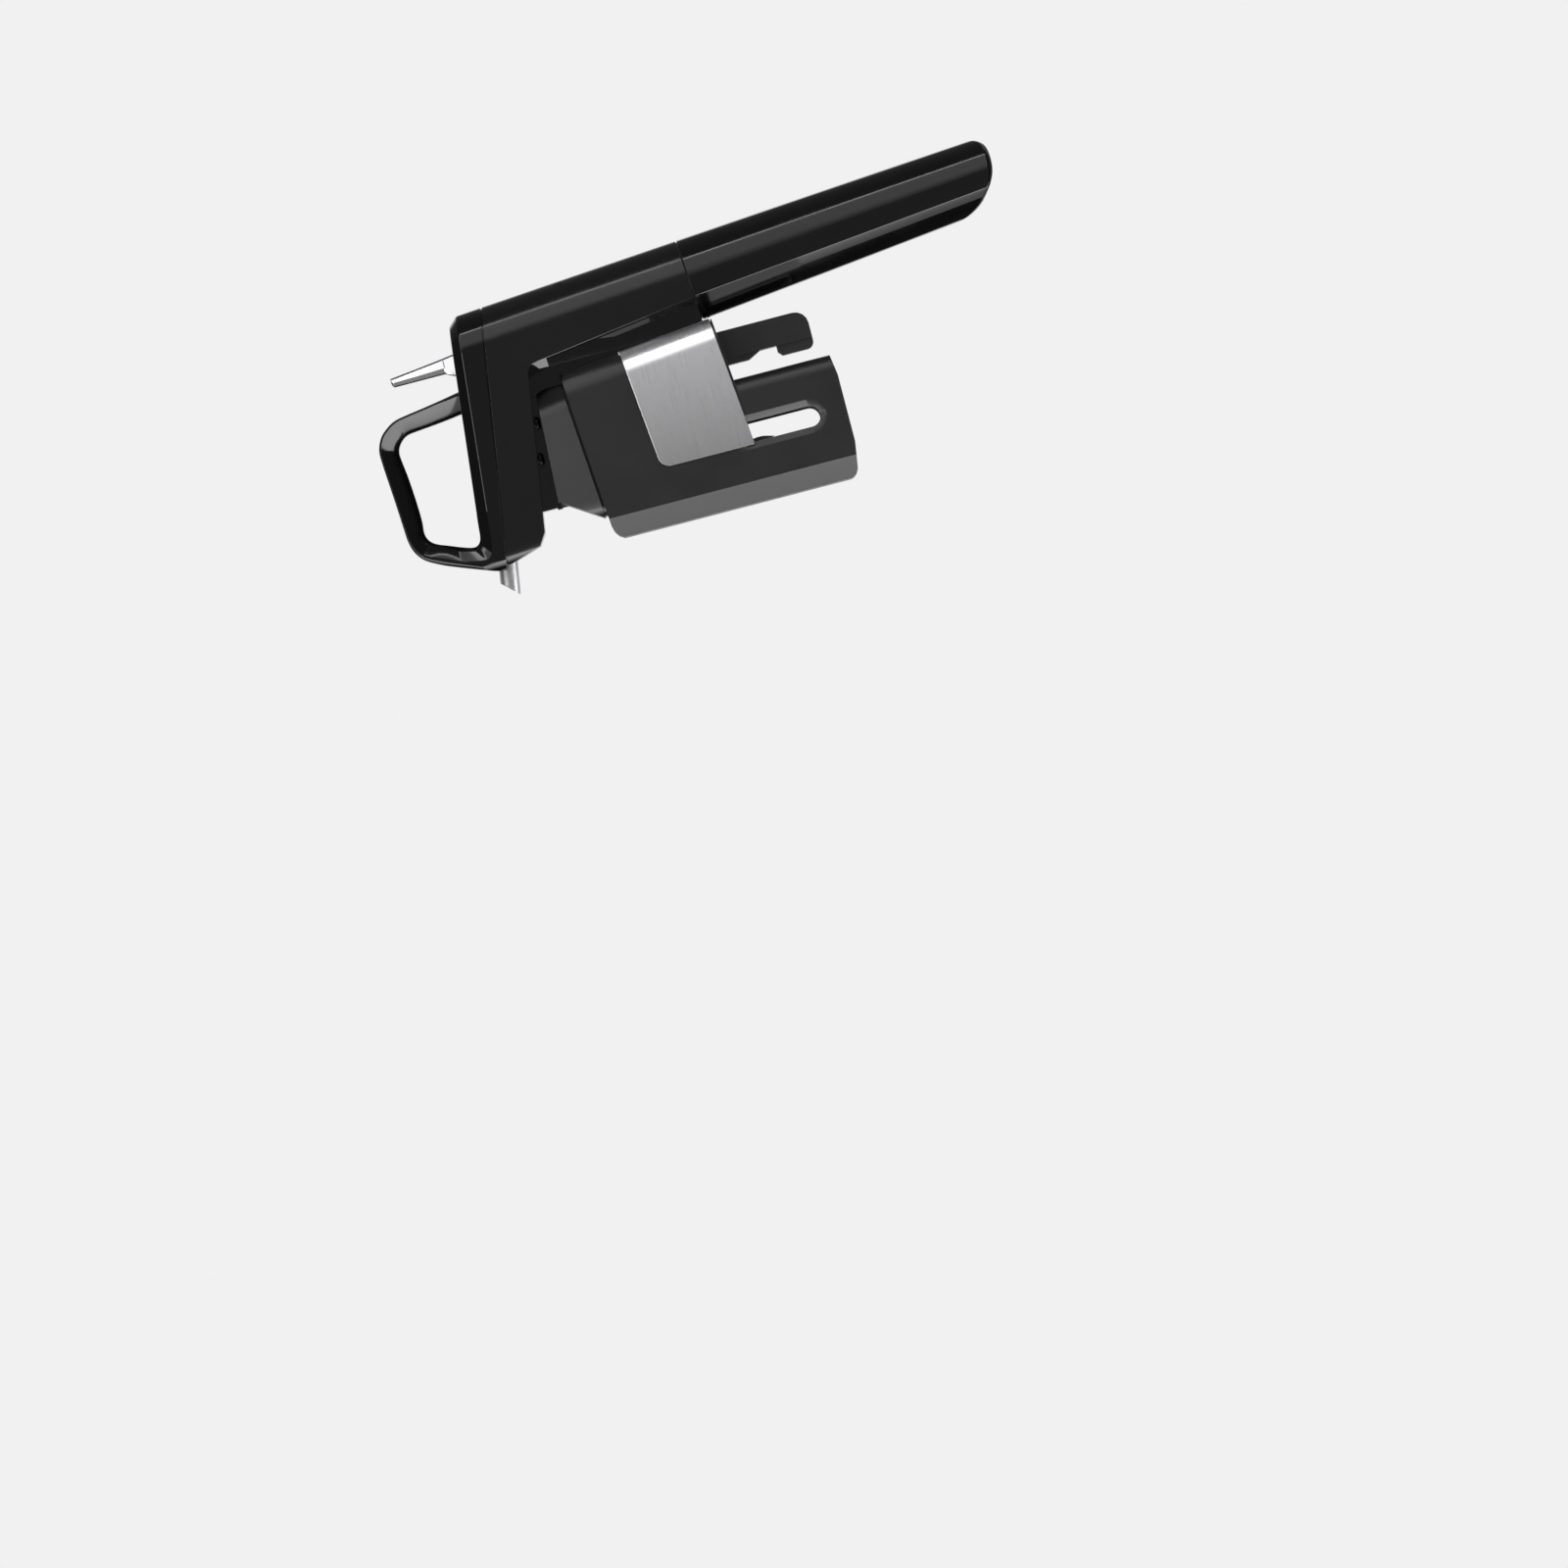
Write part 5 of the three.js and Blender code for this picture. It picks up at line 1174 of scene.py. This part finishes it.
def cylinder(tree, sides, radius, depth):
    """A closed cylinder round the origin."""
    return add(tree, "GeometryNodeMeshCylinder", {
        "Vertices": sides, "Radius": radius, "Depth": depth}, fill_type="NGON")


def raised(tree, geometry, height):
    """A geometry moved up."""
    lift = add(tree, "ShaderNodeCombineXYZ", {"Z": height})
    return add(tree, "GeometryNodeTransform", {"Geometry": geometry, "Translation": lift})


def swept(tree, curve, radius, sides):
    """A round bar along a curve, with closed ends."""
    circle = add(tree, "GeometryNodeCurvePrimitiveCircle", {
        "Resolution": sides, "Radius": radius})
    return add(tree, "GeometryNodeCurveToMesh", {
        "Curve": curve, "Profile Curve": circle, "Fill Caps": True})


def screw_tree():
    """Button-headed screws with a hexagonal socket, one on each point along its way."""
    tree, size = new_tree("Screws", {
        "Shank radius": 0.0012, "Shank length": 0.008, "Head radius": 0.0023,
        "Head height": 0.0016, "Socket radius": 0.00115})
    half = reckon(tree, "MULTIPLY", size["Head height"], 0.5)
    rim = cylinder(tree, 40, size["Head radius"], half)
    dome = add(tree, "GeometryNodeMeshCone", {
        "Vertices": 40, "Radius Bottom": size["Head radius"], "Depth": half,
        "Radius Top": reckon(tree, "MULTIPLY", size["Head radius"], 0.68)}, fill_type="NGON")
    socket = cylinder(tree, 6, size["Socket radius"], size["Head height"])
    head = add(tree, "GeometryNodeMeshBoolean", {
        "Mesh 1": raised(tree, dome, half),
        "Mesh 2": raised(tree, socket, size["Head height"])},
        operation="DIFFERENCE", solver="EXACT")
    shank = cylinder(tree, 24, size["Shank radius"], size["Shank length"])
    whole = add(tree, "GeometryNodeJoinGeometry")
    for part in (raised(tree, rim, reckon(tree, "MULTIPLY", half, 0.5)),
                 raised(tree, shank, reckon(tree, "MULTIPLY", size["Shank length"], -0.5)),
                 head):
        feed(tree, whole, {"Geometry": part})
    way = add(tree, "GeometryNodeInputNamedAttribute", {"Name": "way"},
              data_type="FLOAT_VECTOR")
    turn = add(tree, "FunctionNodeAlignRotationToVector", {"Vector": way}, axis="Z")
    placed = add(tree, "GeometryNodeInstanceOnPoints", {
        "Points": size["Geometry"], "Instance": whole, "Rotation": turn})
    return finish_tree(tree, placed, size["Material"])


def coil_tree(name, steps, sides):
    """A round wire or ridge wound along +Z, with so many steps to a turn and sides."""
    tree, size = new_tree(name, {"Radius": 0.003, "Length": 0.004, "Turns": 3.0, "Wire": 0.0003})
    coil = add(tree, "GeometryNodeCurveSpiral", {
        "Resolution": steps, "Rotations": size["Turns"], "Start Radius": size["Radius"],
        "End Radius": size["Radius"], "Height": size["Length"]})
    return finish_tree(tree, swept(tree, coil, size["Wire"], sides), size["Material"])


def rib_tree():
    """Straight rounded ribs, one on each point, as long as the pad is wide."""
    tree, size = new_tree("Pad ribs", {"Long": 0.006, "Thick": 0.0004})
    start, end = (add(tree, "ShaderNodeCombineXYZ", {
        "X": reckon(tree, "MULTIPLY", size["Long"], share)}) for share in (-0.5, 0.5))
    line = add(tree, "GeometryNodeCurvePrimitiveLine", {"Start": start, "End": end})
    placed = add(tree, "GeometryNodeInstanceOnPoints", {
        "Points": size["Geometry"], "Instance": swept(tree, line, size["Thick"], 12)})
    return finish_tree(tree, placed, size["Material"])


class DISPENSER_OT_screws(bpy.types.Operator):
    """Make the lid's, rail's and collar's screws from one node tree."""

    bl_idname = "dispenser.screws"
    bl_label = "Screws"

    def execute(self, context):
        sizes = context.scene.dispenser.screw
        tree = screw_tree()
        # Piece, body, shank length, way to the head, and the nodes; the lid's stand in the arm.
        groups = (
            ("lid_screws", "head", 8.0, -UP, ("lid_screw_front_left", "lid_screw_front_right",
                                              "lid_screw_back_left", "lid_screw_back_right")),
            ("rail_screws", "head", 9.0, Vector((1, 0, 0)),
             ("rail_screw_left", "rail_screw_right")),
            ("collar_screws", "clamp_base", 8.0, UP,
             ("collar_screw_left", "collar_screw_right")),
        )
        for name, body, deep, way, nodes in groups:
            if name == "lid_screws":
                seats = [Vector(place) * MM for place in screw_places()]
            else:
                seats = [self.seat(node, way, sizes.rise) for node in nodes]
            piece = grow(name, seats, tree, {
                "Shank radius": sizes.shank, "Shank length": deep * MM,
                "Head radius": sizes.head, "Head height": sizes.rise,
                "Socket radius": sizes.socket, "Material": finish("black_steel")},
                [way] * len(seats))
            dress(piece, finish("black_steel"), body, *nodes, slot="spring_steel")
        return {"FINISHED"}

    def seat(self, node, way, rise):
        """The middle of the face under a screw's head, in metres."""
        low, high = (Vector(corner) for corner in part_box(node))
        middle = (low + high) / 2
        axis = 2 if way.z else 0
        middle[axis] = high[axis]
        return middle - way * rise


class DISPENSER_OT_jaw_pads(bpy.types.Operator):
    """Make the ribbed rubber pads on the two levers."""

    bl_idname = "dispenser.jaw_pads"
    bl_label = "Jaw pads"

    def execute(self, context):
        sizes = context.scene.dispenser.clamp
        tree = rib_tree()
        for name, side in (("left", -1), ("right", 1)):
            node = f"jaw_pad_{name}"
            pad = node_copy(node, f"pad_{name}")
            soften(pad, 0.25 * MM)
            low, high = (Vector(corner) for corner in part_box(node))
            middle = (low.x + high.x) / 2
            reach = math.sqrt((PAD_REACH * MM) ** 2 - middle ** 2)
            count = int((high.z - low.z - sizes.rib_step) / sizes.rib_step)
            places = [(middle, side * (reach + sizes.rib * 0.35),
                       low.z + sizes.rib_step * (i + 1)) for i in range(count)]
            ribs = grow(f"ribs_{name}", places, tree, {
                "Long": (high.x - low.x) * 0.3, "Thick": sizes.rib,
                "Material": finish("rubber")})
            merge(pad, ribs)
            dress(pad, finish("rubber"), f"jaw_{name}", node, slot="rubber")
        return {"FINISHED"}


class DISPENSER_OT_springs(bpy.types.Operator):
    """Make the two coil springs, as they stand at rest."""

    bl_idname = "dispenser.springs"
    bl_label = "Coil springs"

    def execute(self, context):
        tree = coil_tree("Coil spring", 36, 12)
        # Name, node, coil radius, wire radius, turns, way, the joint that shortens it, its
        # travel, and which end stays.
        rows = (
            ("valve_coil", "valve_spring", 2.95, 0.3, 3.0, UP, "valve_push", 2.68, 0),
            ("regulator_coil", "regulator_spring", 5.0, 0.6, 5.0, -DOWN, "regulator_flex",
             1.6, 1),
        )
        for name, node, radius, wire, turns, way, joint, travel, still in rows:
            low, high = (Vector(corner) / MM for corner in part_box(node))
            middle = (low + high) / 2
            long = (high.z - low.z - 2 * (wire + radius * abs(way.x))) / way.z
            foot = middle - way * long / 2
            piece = grow(name, [(0, 0, 0)], tree, {
                "Radius": radius * MM, "Length": long * MM, "Turns": turns,
                "Wire": wire * MM, "Material": finish("plain_steel")})
            piece.data.transform(Matrix.Translation(foot * MM) @ turn_up_to(way).to_4x4())
            dress(piece, finish("plain_steel"), "head", node, slot="spring_steel")
            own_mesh(piece)
        return {"FINISHED"}


class DISPENSER_OT_frame_finishes(bpy.types.Operator):
    """Give every solid of the frame the material that its record names."""

    bl_idname = "dispenser.frame_finishes"
    bl_label = "Finishes of the frame's solids"

    def execute(self, context):
        slots = {
            "satin_black": "satin", "gloss_black": "gloss", "matte_black": "matte",
            "brushed_steel": "brushed", "polished_steel": "polished",
            "spring_steel": "plain_steel", "brass": "brass", "rubber": "rubber",
            "nylon": "nylon",
        }
        for part in frame["record"]["subparts"]:
            node = frame["nodes"][part["node"]]
            material = finish(slots[part["material_slot"]])
            for index in range(len(node.material_slots)):
                node.material_slots[index].material = material
        for name in ("spout_tube", "needle"):
            frame["nodes"][name].material_slots[0].material = finish("satin_steel")
        return {"FINISHED"}


# Stage

def turned_to(facing):
    """A turn whose third axis faces a direction, its first one as upright as can be."""
    facing = Vector(facing).normalized()
    up = UP if abs(facing.z) < 0.9 else Vector((0, 1, 0))
    across = up.cross(facing).normalized()
    return Matrix((facing.cross(across), -across, facing)).transposed()


def plane(name, place, facing, width, height):
    """A rectangle in metres whose front faces a direction; its width runs upright."""
    turn = turned_to(facing)
    corners = [(-width / 2, -height / 2, 0), (width / 2, -height / 2, 0),
               (width / 2, height / 2, 0), (-width / 2, height / 2, 0)]
    mesh = bpy.data.meshes.new(name)
    mesh.from_pydata([turn @ Vector(c) + Vector(place) for c in corners], [], [(0, 1, 2, 3)])
    return show(name, mesh)


def lamp(name, place, target, width, height, watts):
    """A soft box that camera and reflections don't see; its width runs upright."""
    light = bpy.data.lights.new(name, "AREA")
    light.shape = "RECTANGLE"
    light.size, light.size_y = width, height
    light.energy = watts
    box = show(name, light)
    box.matrix_world = Matrix.Translation(place) @ turned_to(place - target).to_4x4()
    box.visible_camera = False
    box.visible_glossy = False


class DISPENSER_OT_stage(bpy.types.Operator):
    """Set the camera at the photograph's angle, the pale floor, the room and the lamps."""

    bl_idname = "dispenser.stage"
    bl_label = "Stage"

    def execute(self, context):
        sizes = context.scene.dispenser.stage
        ground = tuple(context.scene.dispenser.finish.background)
        self.camera(context, sizes)
        self.room(context, sizes, ground)
        self.floor(sizes, ground)
        centre = Vector((0.03, 0, -0.02))  # near the dispenser's middle
        for name, offset, width, height, watts in (
                ("top_box", (0.616, -0.788, 0), 1.5, 1.0, sizes.top_watts),
                ("low_box", (-1.0, -0.22, 0), 2.0, 0.7, sizes.low_watts),
                ("fill_box", (-0.1, 0.1, 1.2), 0.9, 0.9, sizes.fill_watts)):
            lamp(name, centre + Vector(offset), centre, width, height, watts)
        return {"FINISHED"}

    def camera(self, context, sizes):
        view = bpy.data.cameras.new("camera")
        view.sensor_width = 36.0
        view.lens = 36.0 * sizes.distance / sizes.across
        view.clip_end = 50.0
        camera = show("camera", view)
        # The photograph's right and up, as it looks along +Y, and the point at its middle.
        right, up = Vector((-0.2526, 0, -0.9676)), Vector((0.9676, 0, -0.2526))
        back = right.cross(up)
        turn = Matrix((right, up, back)).transposed()
        middle = Vector((-0.1143, 0, -0.0193))
        place = middle + back * sizes.distance
        camera.matrix_world = Matrix.Translation(place) @ turn.to_4x4()
        context.scene.camera = camera
        context.scene.view_settings.view_transform = "Standard"

    def room(self, context, sizes, ground):
        # A pale cove: the camera, mirrors and clear parts see its colour, and it also gives
        # a little soft light from all round.
        world = bpy.data.worlds.new("room")
        world.use_nodes = True
        tree = world.node_tree
        tree.nodes.clear()
        path = add(tree, "ShaderNodeLightPath").outputs
        seen = reckon(tree, "MAXIMUM", path["Is Camera Ray"], path["Is Glossy Ray"])
        seen = reckon(tree, "MAXIMUM", seen, path["Is Transmission Ray"])
        wall = add(tree, "ShaderNodeBackground", {"Color": (*ground, 1.0), "Strength": 1.0})
        soft = add(tree, "ShaderNodeBackground", {
            "Color": (1.0, 1.0, 1.0, 1.0), "Strength": sizes.ambient})
        either = add(tree, "ShaderNodeMixShader", {0: seen, 1: soft, 2: wall})
        add(tree, "ShaderNodeOutputWorld", {"Surface": either})
        context.scene.world = world
        # Cards that only reflections see, as flags stand round a small glossy product: graded
        # ones along its back and under its arm, a grey one in front, a bright strip for the
        # rims, and dark ones all round, which keep the black plastic black. The two small
        # ones stand between the handle and the sleeve and light the edges that face it.
        front, near, far = sizes.front, sizes.low_near, sizes.low_far
        streak = ((0.05, front), (0.3, 1.35), (0.94, 1.35), (0.97, sizes.streak))
        under = ((0.1, near), (0.35, near * 0.85), (0.85, far), (1.0, far))
        below = ((0.0, 0.1), (0.64, 0.1), (0.67, 0.7), (1.0, 0.7))
        # Name, place, facing, width, height, brightness; if graded, along which axis and where.
        cards = [
            ("graded_card", (0.646, -0.788, -0.02), (-0.616, 0.788, 0), 3.6, 0.92, streak,
             "X", 0.288, 1.005),
            ("low_card", (-1.0, -0.22, -0.02), (1, 0, 0), 3.6, 0.62, under, "Y", -0.53, 0.09),
            ("front_card", (-1.27, -1.6, -0.02), (0, 1, 0), 3.4, 3.6, front),
            ("rim_strip", (0.0, -1.25, 1.15), (0, 0.74, -0.67), 0.25, 3.0, sizes.rim),
            ("back_flag", (1.08, 0.83, -0.02), (-1, 0, 0), 3.6, 2.7, 0.14),
            ("low_flag", (-1.0, 1.19, -0.02), (1, 0, 0), 3.6, 2.2, 0.02),
            ("upper_flag", (0.03, -0.2, 1.8), (0, 0, -1), 2.0, 2.4, 0.1),
            ("lower_flag", (0.03, -0.3, -0.365), (0, 0, 1), 1.6, 2.0, below, "Y", -1.1, 0.5),
            ("bend_card", (-0.165, -0.105, -0.129), (0.645, 0.326, 0.691), 0.34, 0.13,
             near * 0.85),
            ("skirt_card", (0.0415, -0.0146, -0.003), (1, 0, 0), 0.056, 0.0088, near),
            ("cup_card", (0.0224, -0.0136, -0.056), (1, 0, 0), 0.033, 0.014, far),
        ]
        for name, place, facing, width, height, strength, *grade in cards:
            card = plane(name, place, facing, width, height)
            card.data.materials.append(self.glow(name, strength, grade))
            card.visible_camera = False
            card.visible_diffuse = False
            card.visible_transmission = False
            card.visible_shadow = False

    def glow(self, name, strength, grade):
        """An even or graded light on a card's front; its back is clear."""
        material = bpy.data.materials.new(name)
        material.use_nodes = True
        tree = material.node_tree
        tree.nodes.clear()
        if grade:
            axis, start, end = grade
            spot = add(tree, "ShaderNodeTexCoord").outputs["Object"]
            axes = add(tree, "ShaderNodeSeparateXYZ", {"Vector": spot})
            share = spread(tree, axes.outputs[axis], start, end)
            ramp = add(tree, "ShaderNodeValToRGB", {"Fac": share})
            stops = ramp.color_ramp.elements
            while len(stops) < len(strength):
                stops.new(0.5)
            scale = max(level for _, level in strength)
            for stop, (position, level) in zip(stops, strength):
                stop.position = position
                stop.color = (*[level / scale] * 3, 1.0)
            strength = reckon(tree, "MULTIPLY", ramp, scale)
        light = add(tree, "ShaderNodeEmission", {
            "Color": (1.0, 1.0, 1.0, 1.0), "Strength": strength})
        side = add(tree, "ShaderNodeNewGeometry")
        clear = add(tree, "ShaderNodeBsdfTransparent")
        one_sided = add(tree, "ShaderNodeMixShader", {
            0: side.outputs["Backfacing"], 1: light, 2: clear})
        add(tree, "ShaderNodeOutputMaterial", {"Surface": one_sided})
        return material

    def floor(self, sizes, ground):
        # Painted board that fades into the cove, so that no edge shows.
        board = plane("floor", (0.03, 0, -sizes.drop), (0, 0, 1), 6.0, 6.0)
        material, tree, shader = start_material("Painted board", linear("#e8e8e8"), 0.8)
        place = add(tree, "ShaderNodeTexCoord").outputs["Object"]
        level = add(tree, "ShaderNodeVectorMath", {0: place, 1: (1.0, 1.0, 0.0)},
                    operation="MULTIPLY")
        reach = add(tree, "ShaderNodeVectorMath", {0: level}, operation="LENGTH")
        fade = spread(tree, reach.outputs["Value"], 0.1, 0.42, interpolation_type="SMOOTHSTEP")
        far = add(tree, "ShaderNodeEmission", {"Color": (*ground, 1.0), "Strength": 1.0})
        blend = add(tree, "ShaderNodeMixShader", {0: fade, 1: shader, 2: far})
        feed(tree, tree.nodes["Material Output"], {"Surface": blend})
        board.data.materials.append(material)


PIECES = (
    DISPENSER_OT_handle_body, DISPENSER_OT_top_cover, DISPENSER_OT_handle_spine,
    DISPENSER_OT_needle_boss, DISPENSER_OT_trigger, DISPENSER_OT_spout, DISPENSER_OT_capsule_cup,
    DISPENSER_OT_clamp_housing, DISPENSER_OT_guide_collar, DISPENSER_OT_badge_band,
    DISPENSER_OT_rail, DISPENSER_OT_screws, DISPENSER_OT_jaw_pads, DISPENSER_OT_springs,
    DISPENSER_OT_frame_finishes, DISPENSER_OT_stage,
)


class DISPENSER_PT_pieces(bpy.types.Panel):
    """Lists the pieces in the sidebar."""

    bl_idname = "DISPENSER_PT_pieces"
    bl_label = "Needle dispenser"
    bl_space_type = "VIEW_3D"
    bl_region_type = "UI"
    bl_category = "Dispenser"

    def draw(self, context):
        for piece in PIECES:
            self.layout.operator(piece.bl_idname)


CLASSES = (
    HeadSizes, LoopSizes, CupSizes, ClampSizes, ScrewSizes, Finishes, StageSizes,
    DispenserSettings, *PIECES, DISPENSER_PT_pieces,
)


def register():
    for kind in CLASSES:
        bpy.utils.register_class(kind)
    bpy.types.Scene.dispenser = PointerProperty(type=DispenserSettings)


def unregister():
    del bpy.types.Scene.dispenser
    for kind in reversed(CLASSES):
        bpy.utils.unregister_class(kind)


def main():
    register()
    bpy.ops.dispenser.stage()
    bpy.ops.dispenser.frame_finishes()
    bpy.ops.dispenser.handle_body()
    bpy.ops.dispenser.top_cover()
    bpy.ops.dispenser.handle_spine()
    bpy.ops.dispenser.needle_boss()
    bpy.ops.dispenser.trigger()
    bpy.ops.dispenser.spout()
    bpy.ops.dispenser.capsule_cup()
    bpy.ops.dispenser.clamp_housing()
    bpy.ops.dispenser.guide_collar()
    bpy.ops.dispenser.badge_band()
    bpy.ops.dispenser.rail()
    bpy.ops.dispenser.screws()
    bpy.ops.dispenser.jaw_pads()
    bpy.ops.dispenser.springs()


if __name__ == "__main__":
    main()
